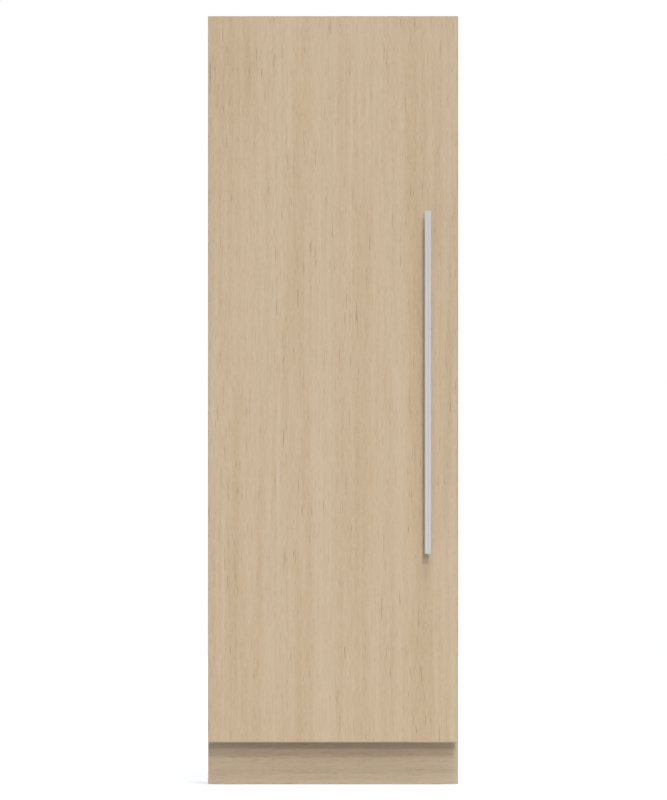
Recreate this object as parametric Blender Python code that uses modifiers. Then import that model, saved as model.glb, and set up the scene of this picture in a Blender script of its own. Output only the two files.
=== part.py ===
"""Integrated column freezer behind a wood door panel, modelled at its real size in metres.

+X is to the right of someone facing the door, +Y goes back into the freezer and +Z is up.
The origin is on the floor, under the middle of the overall box.
"""

import math

import bmesh
import bpy
from mathutils import Matrix, Vector

# Fits shared by every piece
FIT = 0.0003
OVERRUN = 0.002
WELD = 0.00002
ROUND_SIDES = 16

# Door panel and toe kick, the two pieces of joinery
PANEL_WIDTH = 0.610
PANEL_HEIGHT = 1.7705
PANEL_THICK = 0.019
PANEL_BOTTOM = 0.1035
PANEL_ARRIS = 0.0012
TOE_SETBACK = 0.075
TOE_THICK = 0.016
TOE_TOP_GAP = 0.027
TOE_FLOOR_GAP = 0.0008
TOE_CLEARANCE = 0.004

# Bar handle
BAR_WIDTH = 0.015
BAR_DEPTH = 0.015
BAR_LENGTH = 0.836
BAR_CENTRE_HEIGHT = 0.9815
BAR_INSET = 0.074
BAR_EDGE = 0.0008
FINGER_GAP = 0.035
POST_SIZE = 0.011
POST_INSET = 0.064

# Insulated door
DOOR_DEPTH = 0.050
DOOR_EDGE_INSET = 0.002
PANEL_GAP = 0.002
DOOR_SHEET = 0.001
DOOR_LINER_THICK = 0.002
PLUG_HEIGHT = 0.022
PLUG_SIDE_CLEARANCE = 0.008
PLUG_TAPER = 0.006
GASKET_DEPTH = 0.010
GASKET_WIDTH = 0.016
GASKET_INSET = 0.032
GASKET_ROUND = 0.002
FRAME_RAIL = 0.034
FRAME_EDGE_INSET = 0.018

# Cabinet casing, insulation and liner
SIDE_OVERHANG = 0.005
TOP_OVERHANG = 0.036
BOTTOM_OVERHANG = 0.0315
BODY_DEPTH = 0.529
SHEET = 0.001
LINER_THICK = 0.002
WALL = 0.054
SIDE_FOOT = 0.030
MACHINE_TOP = 0.262
MACHINE_DEPTH = 0.250

# Hinges: a swinging link and a fixed pin that runs in a curved slot of the door leaf
LINK_PIVOT_INSET = 0.022
LINK_PIVOT_BACK = 0.024
LEAF_PIVOT_INSET = 0.010
LEAF_PIVOT_BEHIND_PANEL = 0.011
SLOT_PIN_INSET = 0.057
SLOT_PIN_BEHIND_PANEL = 0.010
LINK_TURN_SHARE = 0.23
DOOR_OPENING = math.radians(110)
HINGE_PLATE_THICK = 0.003
HINGE_LEAF_THICK = 0.003
HINGE_LINK_THICK = 0.004
HINGE_LAYER_GAP = 0.0005
HINGE_PIN_RADIUS = 0.003
HINGE_PIN_CLEARANCE = 0.0004
LINK_EYE_RADIUS = 0.0075
LINK_BOW = 0.010
LINK_BOW_PLACE_SHARE = 0.26
LEAF_WALL = 0.0028
LEAF_TAIL = 0.018
PLATE_FOOT_WIDTH = 0.060
PLATE_FOOT_DEPTH = 0.056
PLATE_FOOT_FRONT = 0.006
PLATE_FOOT_INSET = 0.001
PLATE_FINGER_HALF = 0.0075
SLOT_STEPS = 12

# Base tray, feet and rollers
TRAY_ROLLER_GAP = 0.004
TRAY_SHEET = 0.0012
TRAY_FLANGE = 0.018
FOOT_INSET = 0.050
FOOT_BACK = 0.040
FOOT_RADIUS = 0.020
FOOT_PAD_HEIGHT = 0.010
FOOT_PAD_CONE = 0.006
STUD_RADIUS = 0.005
STUD_TOP = 0.078
COLLAR_RADIUS = 0.010
COLLAR_HEIGHT = 0.010
ROLLER_RADIUS = 0.018
ROLLER_WIDTH = 0.022
ROLLER_REAR = 0.060
ROLLER_BORE = 0.0047
AXLE_RADIUS = 0.004
EAR_THICK = 0.003
EAR_GAP = 0.002
EAR_HALF_DEPTH = 0.010
EAR_BELOW_AXLE = 0.008
RAIL_LENGTH = 0.400
RAIL_SHEET = 0.0015
RAIL_FACE = 0.030
RAIL_LEG = 0.022

# Side mouldings and the three large drawers that run in their grooves
DRAWER_COUNT = 3
DRAWER_WALL = 0.0025
DRAWER_DRAFT = 0.006
DRAWER_RECESS = 0.058
DRAWER_REAR_GAP = 0.008
DRAWER_TOP_GAP = 0.012
DRAWER_FRONT_THICK = 0.004
DRAWER_FRONT_LIP = 0.016
DRAWER_FRONT_LIP_DROP = 0.012
RIM_REACH = 0.0065
RIM_THICK = 0.004
GROOVE_DEPTH = 0.0075
GROOVE_CLEARANCE = 0.001
GROOVE_BELOW_TOP = 0.030
MOULDING_WIDTH = 0.039
MOULDING_GAP = 0.0015
MOULDING_SHELF_GAP = 0.001
LOW_DRAWER_TOP_GAP = 0.010

# Glass shelves
SHELF_GLASS = 0.004
SHELF_TRIM_HEIGHT = 0.014
SHELF_TRIM_DEPTH = 0.009
SHELF_FRONT = 0.029
SHELF_REAR_GAP = 0.010
SHELF_SPACING = 0.255
UPPER_SPACE = 0.3574
LEDGE_WIDTH = 0.010
LEDGE_HEIGHT = 0.006

# Evaporator behind the rear air cover
EVAPORATOR_SPACE = 0.060
AIR_COVER_THICK = 0.002
AIR_SLOT_WIDTH = 0.120
AIR_SLOT_HEIGHT = 0.008
AIR_SLOT_PITCH = 0.018
AIR_SLOT_COUNT = 3
AIR_SLOT_SPREAD = 0.110
AIR_INTAKE_RISE = 0.030
COIL_DEPTH = 0.044
COIL_SIDE_GAP = 0.066
COIL_HEIGHT = 0.300
COIL_RISE = 0.060
COIL_TUBE = 0.0045
COIL_FIN = 0.0012
COIL_FINS = 7
COIL_RUNS = 5
EVAPORATOR_FAN_RADIUS = 0.052
EVAPORATOR_FAN_RISE = 0.100
DRAIN_RADIUS = 0.007
DRAIN_BORE = 0.005
DRAIN_LIP = 0.004
DRAIN_LIP_THICK = 0.002
DRAIN_BELOW = 0.008

# Both fans
FAN_HUB_RADIUS = 0.014
FAN_DEPTH = 0.016
FAN_BLADES = 5
FAN_BLADE_THICK = 0.0016
FAN_BLADE_PITCH = math.radians(32)
FAN_BLADE_CHORD_SHARE = 0.9
FAN_SHAFT_RADIUS = 0.002
FAN_SHAFT_CLEARANCE = 0.0004
FAN_TIP_GAP = 0.004
FAN_RING_WIDTH = 0.005
FAN_RING_DEPTH = 0.020
FAN_STRUT_WIDTH = 0.006
FAN_STRUT_THICK = 0.003
FAN_MOTOR_RADIUS = 0.016
FAN_MOTOR_DEPTH = 0.014
FAN_RUNNING_GAP = 0.001

# Machine compartment
COMPRESSOR_RADIUS = 0.066
COMPRESSOR_HEIGHT = 0.140
COMPRESSOR_SEAM = 0.004
COMPRESSOR_SEAM_HEIGHT = 0.008
COMPRESSOR_DOME = 0.034
COMPRESSOR_PLATE_THICK = 0.005
COMPRESSOR_PLATE_REACH = 0.014
COMPRESSOR_PLATE_DEPTH = 0.110
COMPRESSOR_LEFT_SHARE = 0.28777
TERMINAL_BOX = 0.040
DRIP_TRAY_WIDTH = 0.170
DRIP_TRAY_DEPTH = 0.120
DRIP_TRAY_HEIGHT = 0.026
DRIP_TRAY_WALL = 0.0015
CONDENSER_SIDE_GAP = 0.035
CONDENSER_WIDTH = 0.150
CONDENSER_DEPTH = 0.150
CONDENSER_HEIGHT = 0.150
CONDENSER_TUBE = 0.004
CONDENSER_FIN = 0.0012
CONDENSER_FINS = 7
CONDENSER_RUNS = 4
CONDENSER_FAN_RADIUS = 0.062
CONDENSER_FAN_GAP = 0.006
CONTROL_BOX_WIDTH = 0.060
CONTROL_BOX_DEPTH = 0.130
CONTROL_BOX_HEIGHT = 0.150
CONTROL_BOX_SIDE_GAP = 0.010
CONTROL_BOX_INLET_GAP = 0.005
VENT_WIDTH = 0.070
VENT_HEIGHT = 0.006
VENT_PITCH = 0.014
VENT_ROWS = 9
VENT_COLUMNS = 3
VENT_COLUMN_PITCH = 0.092
VENT_CENTRE_INSET = 0.190
INLET_WIDTH = 0.028
INLET_HEIGHT = 0.022
INLET_DEPTH = 0.024
INLET_WALL = 0.002
INLET_FLANGE = 0.005
INLET_FLANGE_THICK = 0.002
INLET_INSET = 0.065
INLET_Z = 0.110
INLET_PIN_LENGTH = 0.014
INLET_PIN_WIDTH = 0.002
INLET_PIN_HEIGHT = 0.0045
INLET_PIN_PITCH = 0.0068

# Control panel on the ceiling, with its key
CONTROL_WIDTH = 0.230
CONTROL_DEPTH = 0.046
CONTROL_HEIGHT = 0.020
CONTROL_RECESS = 0.020
KEY_RADIUS = 0.007
KEY_CLEARANCE = 0.0004
KEY_LENGTH = 0.008
KEY_PROUD = 0.0016
KEY_TRAVEL = 0.0012
KEY_OFFSET = 0.085

# Ice maker with its turning tray, and the ice bin
ICE_MODULE_WIDTH = 0.116
ICE_MODULE_REAR_GAP = 0.093
ICE_MODULE_HEIGHT = 0.104
ICE_MODULE_WALL = 0.003
ICE_MODULE_SIDE_GAP = 0.040
ICE_MODULE_CONTROL_GAP = 0.014
ICE_TRAY_HALF_WIDTH = 0.044
ICE_TRAY_HEIGHT = 0.024
ICE_TRAY_END_GAP = 0.003
ICE_TRAY_SWING_GAP = 0.005
ICE_TRAY_FLOOR = 0.0015
ICE_CUP_ROWS = 6
ICE_CUP_COLUMNS = 2
ICE_CUP_WALL = 0.003
ICE_PIVOT_RADIUS = 0.004
ICE_PIVOT_CLEARANCE = 0.0004
ICE_BIN_WIDTH = 0.124
ICE_BIN_REAR_GAP = 0.083
ICE_BIN_HEIGHT = 0.110
ICE_BIN_WALL = 0.0025
ICE_BIN_FRONT = 0.060

# Places that follow from the sizes above
HALF_PANEL = PANEL_WIDTH / 2
HALF_CASE = HALF_PANEL - SIDE_OVERHANG
PANEL_TOP = PANEL_BOTTOM + PANEL_HEIGHT
CASE_TOP = PANEL_TOP - TOP_OVERHANG
CASE_FLOOR = PANEL_BOTTOM + BOTTOM_OVERHANG
TOE_TOP = CASE_FLOOR - TOE_TOP_GAP
HANDLE_REACH = FINGER_GAP + BAR_DEPTH
FRONT_DEPTH = PANEL_THICK + PANEL_GAP + DOOR_DEPTH + GASKET_DEPTH
REAR_Y = (HANDLE_REACH + FRONT_DEPTH + BODY_DEPTH) / 2
FLANGE_Y = REAR_Y - BODY_DEPTH
DOOR_BACK_Y = FLANGE_Y - GASKET_DEPTH
DOOR_FRONT_Y = DOOR_BACK_Y - DOOR_DEPTH
PANEL_BACK_Y = DOOR_FRONT_Y - PANEL_GAP
PANEL_FRONT_Y = PANEL_BACK_Y - PANEL_THICK
TOE_FRONT_Y = PANEL_FRONT_Y + TOE_SETBACK
TOE_BACK_Y = TOE_FRONT_Y + TOE_THICK
NOTCH_Y = TOE_BACK_Y + TOE_CLEARANCE
CASE_FRONT_Y = FLANGE_Y + SHEET + FIT
HALF_INSIDE_CASE = HALF_CASE - SHEET - FIT
HALF_CAVITY = HALF_CASE - WALL
CAVITY_FLOOR = CASE_FLOOR + WALL
CAVITY_TOP = CASE_TOP - WALL
CAVITY_REAR_Y = REAR_Y - WALL
MACHINE_FRONT_Y = REAR_Y - MACHINE_DEPTH
HUMP_TOP = MACHINE_TOP + WALL
HUMP_FRONT_Y = MACHINE_FRONT_Y - WALL
AIR_COVER_Y = CAVITY_REAR_Y - EVAPORATOR_SPACE
UPPER_SHELF_Z = CAVITY_TOP - UPPER_SPACE
LOWER_SHELF_Z = UPPER_SHELF_Z - SHELF_SPACING
MOULDING_TOP = LOWER_SHELF_Z - FIT
DRAWER_PITCH = (MOULDING_TOP - HUMP_TOP - FIT) / DRAWER_COUNT
MOULDING_FACE = HALF_CAVITY - MOULDING_WIDTH
DRAWER_HALF_WIDTH = MOULDING_FACE - MOULDING_GAP
HALF_DOOR = HALF_CASE - DOOR_EDGE_INSET
TRAY_HEIGHT = 2 * ROLLER_RADIUS + TRAY_ROLLER_GAP
TRAY_TOP = TRAY_HEIGHT + TRAY_SHEET
COMPARTMENT_MID_Y = (MACHINE_FRONT_Y + REAR_Y) / 2
DRAIN_Y = CAVITY_REAR_Y - EVAPORATOR_SPACE / 2
COIL_HALF_WIDTH = HALF_CAVITY - COIL_SIDE_GAP
FAN_RING_FRONT = FAN_RING_DEPTH - FAN_STRUT_THICK - FAN_RUNNING_GAP - FAN_DEPTH / 2
CONDENSER_LEFT = HALF_CASE - CONDENSER_SIDE_GAP - CONDENSER_WIDTH
CONDENSER_FAN_X = CONDENSER_LEFT - CONDENSER_FAN_GAP - FAN_RING_FRONT
FAN_FRAME_LEFT = CONDENSER_FAN_X - FAN_DEPTH / 2 - FAN_RUNNING_GAP - FAN_MOTOR_DEPTH
CONTROL_BOX_LEFT = -HALF_CASE + SHEET + CONTROL_BOX_SIDE_GAP
CONTROL_BOX_RIGHT = CONTROL_BOX_LEFT + CONTROL_BOX_WIDTH
COMPRESSOR_REACH = COMPRESSOR_RADIUS + COMPRESSOR_SEAM + COMPRESSOR_PLATE_REACH
COMPRESSOR_ROOM = FAN_FRAME_LEFT - CONTROL_BOX_RIGHT - 2 * COMPRESSOR_REACH
COMPRESSOR_X = CONTROL_BOX_RIGHT + COMPRESSOR_ROOM * COMPRESSOR_LEFT_SHARE + COMPRESSOR_REACH
INLET_X = -HALF_CASE + INLET_INSET

# Joint axes
LINK_PIVOT = Vector((-HALF_CASE + LINK_PIVOT_INSET, FLANGE_Y + LINK_PIVOT_BACK))
LEAF_PIVOT = Vector((-HALF_CASE + LEAF_PIVOT_INSET, PANEL_BACK_Y + LEAF_PIVOT_BEHIND_PANEL))
SLOT_PIN = Vector((-HALF_CASE + SLOT_PIN_INSET, PANEL_BACK_Y + SLOT_PIN_BEHIND_PANEL))

# Finishes: colour, roughness, metallic
FINISHES = {
    "oak": ((0.584, 0.462, 0.314), 0.55, 0.0),
    "satin_steel": ((0.60, 0.60, 0.61), 0.32, 1.0),
    "painted_steel": ((0.55, 0.56, 0.57), 0.45, 0.0),
    "galvanised": ((0.50, 0.51, 0.52), 0.45, 1.0),
    "foam": ((0.80, 0.72, 0.50), 0.9, 0.0),
    "liner_white": ((0.86, 0.87, 0.87), 0.35, 0.0),
    "clear_plastic": ((0.80, 0.86, 0.90), 0.08, 0.0),
    "glass": ((0.78, 0.88, 0.86), 0.03, 0.0),
    "grey_rubber": ((0.35, 0.36, 0.37), 0.8, 0.0),
    "black_plastic": ((0.03, 0.03, 0.03), 0.5, 0.0),
    "grey_plastic": ((0.42, 0.43, 0.45), 0.45, 0.0),
    "aluminium": ((0.70, 0.71, 0.72), 0.4, 1.0),
    "black_enamel": ((0.02, 0.02, 0.02), 0.35, 0.0),
}


def new_collection(name):
    collection = bpy.data.collections.new(name)
    bpy.context.scene.collection.children.link(collection)
    return collection


def clear_scene():
    for old in list(bpy.data.objects):
        bpy.data.objects.remove(old)


clear_scene()
FREEZER = new_collection("integrated_freezer")
CUTTERS = new_collection("cutters")


def finish_material(name, finish):
    colour, roughness, metallic = FINISHES[finish]
    material = bpy.data.materials.new(f"{name}_{finish}")
    material.use_nodes = True
    shader = material.node_tree.nodes["Principled BSDF"]
    shader.inputs["Base Color"].default_value = (*colour, 1.0)
    shader.inputs["Roughness"].default_value = roughness
    shader.inputs["Metallic"].default_value = metallic
    material.diffuse_color = (*colour, 1.0)
    return material


def new_object(name, mesh, location, finish):
    """A mesh object at location. Without a finish it is a helper that the render leaves out."""
    made = bpy.data.objects.new(name, mesh)
    made.location = location
    if finish:
        made.data.materials.append(finish_material(name, finish))
        FREEZER.objects.link(made)
    else:
        made.hide_render = True
        made.display_type = "WIRE"
        CUTTERS.objects.link(made)
    return made


def box(name, low, high, finish=None):
    """A cuboid between two corners, whose object sits at its centre."""
    low, high = Vector(low), Vector(high)
    mesh = bpy.data.meshes.new(name)
    shape = bmesh.new()
    bmesh.ops.create_cube(shape, size=1)
    bmesh.ops.scale(shape, vec=high - low, verts=shape.verts)
    shape.to_mesh(mesh)
    shape.free()
    return new_object(name, mesh, (low + high) / 2, finish)


def cylinder(name, centre, axis, radius, length, finish=None, sides=ROUND_SIDES):
    """A round bar of this length about its centre, along axis "X", "Y" or "Z"."""
    turns = {
        "X": Matrix.Rotation(math.pi / 2, 4, "Y"),
        "Y": Matrix.Rotation(math.pi / 2, 4, "X"),
        "Z": Matrix.Identity(4),
    }
    mesh = bpy.data.meshes.new(name)
    shape = bmesh.new()
    bmesh.ops.create_cone(
        shape, cap_ends=True, segments=sides, radius1=radius, radius2=radius, depth=length
    )
    shape.to_mesh(mesh)
    shape.free()
    made = new_object(name, mesh, centre, finish)
    made.rotation_euler = turns[axis].to_euler()
    return made


def outline(name, rings, plane, low, high, finish=None):
    """A flat outline, with its holes after it, that fills low to high across its plane.

    In plane "XY" the points are x and y, in "YZ" y and z, and in "XZ" x and z.
    """
    turns = {
        "XY": (Matrix.Identity(4), Vector((0, 0, 1))),
        "YZ": (Matrix(((0, 0, 1, 0), (1, 0, 0, 0), (0, 1, 0, 0), (0, 0, 0, 1))), Vector((1, 0, 0))),
        "XZ": (Matrix.Rotation(math.pi / 2, 4, "X"), Vector((0, 1, 0))),
    }
    turn, across = turns[plane]
    curve = bpy.data.curves.new(name, "CURVE")
    curve.dimensions = "2D"
    curve.fill_mode = "BOTH"
    curve.extrude = (high - low) / 2
    for ring in rings:
        spline = curve.splines.new("POLY")
        spline.points.add(len(ring) - 1)
        for point, place in zip(spline.points, ring):
            point.co = (*place, 0, 1)
        spline.use_cyclic_u = True
    drawn = bpy.data.objects.new(name, curve)
    CUTTERS.objects.link(drawn)
    bpy.context.view_layer.update()
    graph = bpy.context.evaluated_depsgraph_get()
    mesh = bpy.data.meshes.new_from_object(drawn.evaluated_get(graph))
    bpy.data.objects.remove(drawn)
    shape = bmesh.new()
    shape.from_mesh(mesh)
    bmesh.ops.remove_doubles(shape, verts=shape.verts, dist=WELD)
    bmesh.ops.recalc_face_normals(shape, faces=shape.faces)
    shape.to_mesh(mesh)
    shape.free()
    mesh.materials.clear()
    made = new_object(name, mesh, across * (low + high) / 2, finish)
    made.rotation_euler = turn.to_euler()
    return made


def turned(name, profile, centre, finish=None, sides=ROUND_SIDES):
    """A shape turned about Z, from profile points of radius and height, top to bottom."""
    mesh = bpy.data.meshes.new(name)
    points = [(radius, 0, height) for radius, height in profile]
    mesh.from_pydata(points, [(i, i + 1) for i in range(len(points) - 1)], [])
    made = new_object(name, mesh, centre, finish)
    spin = made.modifiers.new("Turn", "SCREW")
    spin.steps = spin.render_steps = sides
    spin.use_merge_vertices = True
    spin.merge_threshold = WELD
    return made


def tube(name, points, radius, finish=None, sides=8):
    """A closed round tube along the points, as a mesh."""
    curve = bpy.data.curves.new(name, "CURVE")
    curve.dimensions = "3D"
    curve.bevel_depth = radius
    curve.bevel_resolution = (sides - 4) // 2
    curve.use_fill_caps = True
    spline = curve.splines.new("POLY")
    spline.points.add(len(points) - 1)
    for point, place in zip(spline.points, points):
        point.co = (*place, 1)
    drawn = bpy.data.objects.new(name, curve)
    CUTTERS.objects.link(drawn)
    bpy.context.view_layer.update()
    graph = bpy.context.evaluated_depsgraph_get()
    mesh = bpy.data.meshes.new_from_object(drawn.evaluated_get(graph))
    bpy.data.objects.remove(drawn)
    shape = bmesh.new()
    shape.from_mesh(mesh)
    bmesh.ops.remove_doubles(shape, verts=shape.verts, dist=WELD)
    bmesh.ops.recalc_face_normals(shape, faces=shape.faces)
    shape.to_mesh(mesh)
    shape.free()
    mesh.materials.clear()
    return new_object(name, mesh, (0, 0, 0), finish)


def join_or_cut(piece, other, operation):
    step = piece.modifiers.new(other.name, "BOOLEAN")
    step.operation = operation
    step.solver = "EXACT"
    step.object = other
    return piece


def cut(piece, *others):
    for other in others:
        join_or_cut(piece, other, "DIFFERENCE")
    return piece


def join(piece, *others):
    for other in others:
        join_or_cut(piece, other, "UNION")
    return piece


def bevel(piece, width, segments=1):
    step = piece.modifiers.new("Edges", "BEVEL")
    step.width = width
    step.segments = segments
    step.limit_method = "ANGLE"
    return piece


def axis_empty(name, place, parent=None):
    """An empty on a joint's axis. What moves with the joint hangs from it."""
    empty = bpy.data.objects.new(name, None)
    FREEZER.objects.link(empty)
    empty.location = place
    if parent:
        hang(parent, empty)
    return empty


def hang(parent, *pieces):
    """Parents pieces, and the helpers that shape them, to an empty and leaves them where they are."""
    bpy.context.view_layer.update()
    for piece in pieces:
        helpers = [step.object for step in piece.modifiers if step.type == "BOOLEAN"]
        for hung in (piece, *helpers):
            hung.parent = parent
            hung.location -= parent.matrix_world.translation


def rectangle(low, high):
    """The four corners of a rectangle, anticlockwise."""
    return [(low[0], low[1]), (high[0], low[1]), (high[0], high[1]), (low[0], high[1])]


def folded(points, thick):
    """The outline of a folded sheet: the path, and the same path a thickness to its left."""
    path = [Vector(point) for point in points]
    across = []
    for start, end in zip(path, path[1:]):
        along = (end - start).normalized()
        across.append(Vector((-along.y, along.x)))
    far = []
    for i, point in enumerate(path):
        before = across[max(i - 1, 0)]
        after = across[min(i, len(across) - 1)]
        mitre = before + after
        far.append(point + mitre * (thick * 2 / mitre.length_squared))
    return path + far[::-1]


def ring_of(centre, radius, sides=ROUND_SIDES):
    return [
        (
            centre[0] + radius * math.cos(2 * math.pi * i / sides),
            centre[1] + radius * math.sin(2 * math.pi * i / sides),
        )
        for i in range(sides)
    ]


def band(path, radius):
    """The outline of an even band along a path, with round ends."""
    places = [Vector(place) for place in path]
    headings = [(end - start).normalized() for start, end in zip(places, places[1:])]
    sides = {-1: [], 1: []}
    for i, place in enumerate(places):
        before = headings[max(i - 1, 0)]
        after = headings[min(i, len(headings) - 1)]
        mitre = before + after
        across = Vector((-mitre.y, mitre.x)) * (2 / mitre.length_squared)
        for side, points in sides.items():
            points.append(place + across * side * radius)

    def cap(centre, heading):
        """The points between the two ends of a half circle whose middle lies along heading."""
        first = math.atan2(heading.y, heading.x) + math.pi / 2
        steps = ROUND_SIDES // 2
        turns = [first - math.pi * i / steps for i in range(1, steps)]
        return [centre + radius * Vector((math.cos(a), math.sin(a))) for a in turns]

    return sides[1] + cap(places[-1], headings[-1]) + sides[-1][::-1] + cap(places[0], -headings[0])


def stepped_block(name, half_width, front, floor, top, rear, hump_top, hump_front, finish=None):
    """A block across X whose rear lower corner is left out, as it is over the machine compartment."""
    profile = [
        (front, floor),
        (hump_front, floor),
        (hump_front, hump_top),
        (rear, hump_top),
        (rear, top),
        (front, top),
    ]
    return outline(name, [profile], "YZ", -half_width, half_width, finish)


def build_casing():
    """The steel casing: two sides, top, rear, stepped bottom and the front flange."""
    side = [
        (CASE_FRONT_Y, CASE_TOP),
        (CASE_FRONT_Y, CASE_FLOOR),
        (NOTCH_Y, CASE_FLOOR),
        (NOTCH_Y, SIDE_FOOT),
        (REAR_Y, SIDE_FOOT),
        (REAR_Y, CASE_TOP),
    ]
    outline("left_side_panel", [side], "YZ", -HALF_CASE, -HALF_CASE + SHEET, "painted_steel")
    outline("right_side_panel", [side], "YZ", HALF_CASE - SHEET, HALF_CASE, "painted_steel")
    box(
        "top_panel",
        (-HALF_INSIDE_CASE, CASE_FRONT_Y, CASE_TOP - SHEET),
        (HALF_INSIDE_CASE, REAR_Y, CASE_TOP),
        "painted_steel",
    )
    box(
        "rear_panel",
        (-HALF_INSIDE_CASE, REAR_Y - SHEET, MACHINE_TOP + SHEET + FIT),
        (HALF_INSIDE_CASE, REAR_Y, CASE_TOP - SHEET - FIT),
        "galvanised",
    )
    step = [
        (CASE_FRONT_Y, CASE_FLOOR),
        (MACHINE_FRONT_Y, CASE_FLOOR),
        (MACHINE_FRONT_Y, MACHINE_TOP),
        (REAR_Y, MACHINE_TOP),
    ]
    pan = outline(
        "bottom_pan", [folded(step, SHEET)], "YZ", -HALF_INSIDE_CASE, HALF_INSIDE_CASE, "galvanised"
    )
    cut(pan, drain_cutter("bottom_pan_drain", DRAIN_RADIUS + FIT))
    outer = rectangle((-HALF_CASE, CASE_FLOOR), (HALF_CASE, CASE_TOP))
    inner = rectangle((-HALF_CAVITY, CAVITY_FLOOR), (HALF_CAVITY, CAVITY_TOP))
    outline("front_flange", [outer, inner], "XZ", FLANGE_Y, FLANGE_Y + SHEET, "painted_steel")


def drain_cutter(name, radius):
    low, high = MACHINE_TOP - OVERRUN, HUMP_TOP + OVERRUN
    return cylinder(name, (COMPRESSOR_X, DRAIN_Y, (low + high) / 2), "Z", radius, high - low)


def build_insulation():
    """Foam between casing and liner, and the liner with its two shelf ledges."""
    foam = stepped_block(
        "cabinet_insulation",
        HALF_INSIDE_CASE,
        CASE_FRONT_Y,
        CASE_FLOOR + SHEET + FIT,
        CASE_TOP - SHEET - FIT,
        REAR_Y - SHEET - FIT,
        MACHINE_TOP + SHEET + FIT,
        MACHINE_FRONT_Y - SHEET - FIT,
        "foam",
    )
    hollow = LINER_THICK + FIT
    room = stepped_block(
        "insulation_room",
        HALF_CAVITY + hollow,
        CASE_FRONT_Y - OVERRUN,
        CAVITY_FLOOR - hollow,
        CAVITY_TOP + hollow,
        CAVITY_REAR_Y + hollow,
        HUMP_TOP - hollow,
        HUMP_FRONT_Y + hollow,
    )
    cut(foam, room, drain_cutter("insulation_drain", DRAIN_RADIUS + FIT))

    liner = stepped_block(
        "inner_liner",
        HALF_CAVITY + LINER_THICK,
        CASE_FRONT_Y,
        CAVITY_FLOOR - LINER_THICK,
        CAVITY_TOP + LINER_THICK,
        CAVITY_REAR_Y + LINER_THICK,
        HUMP_TOP - LINER_THICK,
        HUMP_FRONT_Y + LINER_THICK,
        "liner_white",
    )
    inside = stepped_block(
        "liner_inside",
        HALF_CAVITY,
        CASE_FRONT_Y - OVERRUN,
        CAVITY_FLOOR,
        CAVITY_TOP,
        CAVITY_REAR_Y,
        HUMP_TOP,
        HUMP_FRONT_Y,
    )
    cut(liner, inside, drain_cutter("liner_drain", DRAIN_RADIUS + FIT))
    ledge_front = FLANGE_Y + SHELF_FRONT + 2 * FIT
    ledge_top = UPPER_SHELF_Z - FIT
    for side, name in ((-1, "left"), (1, "right")):
        near, far = sorted((side * (HALF_CAVITY - LEDGE_WIDTH), side * (HALF_CAVITY + LINER_THICK / 2)))
        ledge = box(
            f"{name}_shelf_ledge",
            (near, ledge_front, ledge_top - LEDGE_HEIGHT),
            (far, AIR_COVER_Y - AIR_COVER_THICK - SHELF_REAR_GAP, ledge_top),
        )
        join(liner, ledge)


def groove_height(number):
    """The height of the groove floor for drawer number 1 at the top to DRAWER_COUNT."""
    return MOULDING_TOP - (number - 1) * DRAWER_PITCH - GROOVE_BELOW_TOP


def build_mouldings():
    """The two side mouldings. Each has a groove for the rim of every large drawer."""
    front = FLANGE_Y + SHELF_FRONT + MOULDING_SHELF_GAP
    rear = AIR_COVER_Y - AIR_COVER_THICK - FIT
    for side, name in ((-1, "left"), (1, "right")):
        near, far = sorted((side * MOULDING_FACE, side * (HALF_CAVITY - FIT)))
        moulding = box(
            f"{name}_side_moulding", (near, front, HUMP_TOP + FIT), (far, rear, MOULDING_TOP), "liner_white"
        )
        for number in range(1, DRAWER_COUNT + 1):
            floor = groove_height(number)
            inner, outer = sorted((side * (MOULDING_FACE - OVERRUN), side * (MOULDING_FACE + GROOVE_DEPTH)))
            groove = box(
                f"{name}_groove_{number}",
                (inner, front - OVERRUN, floor),
                (outer, rear + OVERRUN, floor + RIM_THICK + GROOVE_CLEARANCE),
            )
            cut(moulding, groove)


def build_drawer(name, front, rear, floor, top, rim):
    """One drawer: a tapered tub, and a front with a lip to pull it by."""
    axis = axis_empty(f"{name}_slide", (0, front, floor))
    half = DRAWER_HALF_WIDTH
    tub_front = front + DRAWER_FRONT_THICK + FIT
    tub = tapered_tub(f"{name}_tub", half, tub_front, rear, floor, top, DRAWER_DRAFT, DRAWER_WALL)
    if rim:
        for side, hand in ((-1, "left"), (1, "right")):
            inner, outer = sorted((side * (half - DRAWER_WALL / 2), side * (half + RIM_REACH)))
            edge = box(f"{name}_{hand}_rim", (inner, tub_front, rim), (outer, rear, rim + RIM_THICK))
            join(tub, edge)
    profile = [
        (front, floor),
        (front + DRAWER_FRONT_THICK, floor),
        (front + DRAWER_FRONT_THICK, top),
        (front - DRAWER_FRONT_LIP, top),
        (front - DRAWER_FRONT_LIP, top - DRAWER_FRONT_LIP_DROP),
        (front - DRAWER_FRONT_LIP + DRAWER_FRONT_THICK, top - DRAWER_FRONT_LIP_DROP),
        (front - DRAWER_FRONT_LIP + DRAWER_FRONT_THICK, top - DRAWER_FRONT_THICK),
        (front, top - DRAWER_FRONT_THICK),
    ]
    face = outline(f"{name}_front", [profile], "YZ", -half, half, "clear_plastic")
    hang(axis, tub, face)


def tapered_tub(name, half, front, rear, floor, top, draft, wall, centre_x=0, finish="clear_plastic"):
    """An open tub whose sides and rear lean in by draft at the floor, and whose walls are even."""

    def body(label, inset, bottom, lift, look=None):
        low, high = Vector((centre_x - half + inset, front + inset, bottom)), Vector(
            (centre_x + half - inset, rear - inset, top + lift)
        )
        made = box(label, low, high, look)
        for vertex in made.data.vertices:
            if vertex.co.z < 0:
                vertex.co.x -= math.copysign(draft, vertex.co.x)
                if vertex.co.y > 0:
                    vertex.co.y -= draft
        return made

    tub = body(name, 0, floor, 0, finish)
    return cut(tub, body(f"{name}_inside", wall, floor + wall, OVERRUN))


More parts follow.
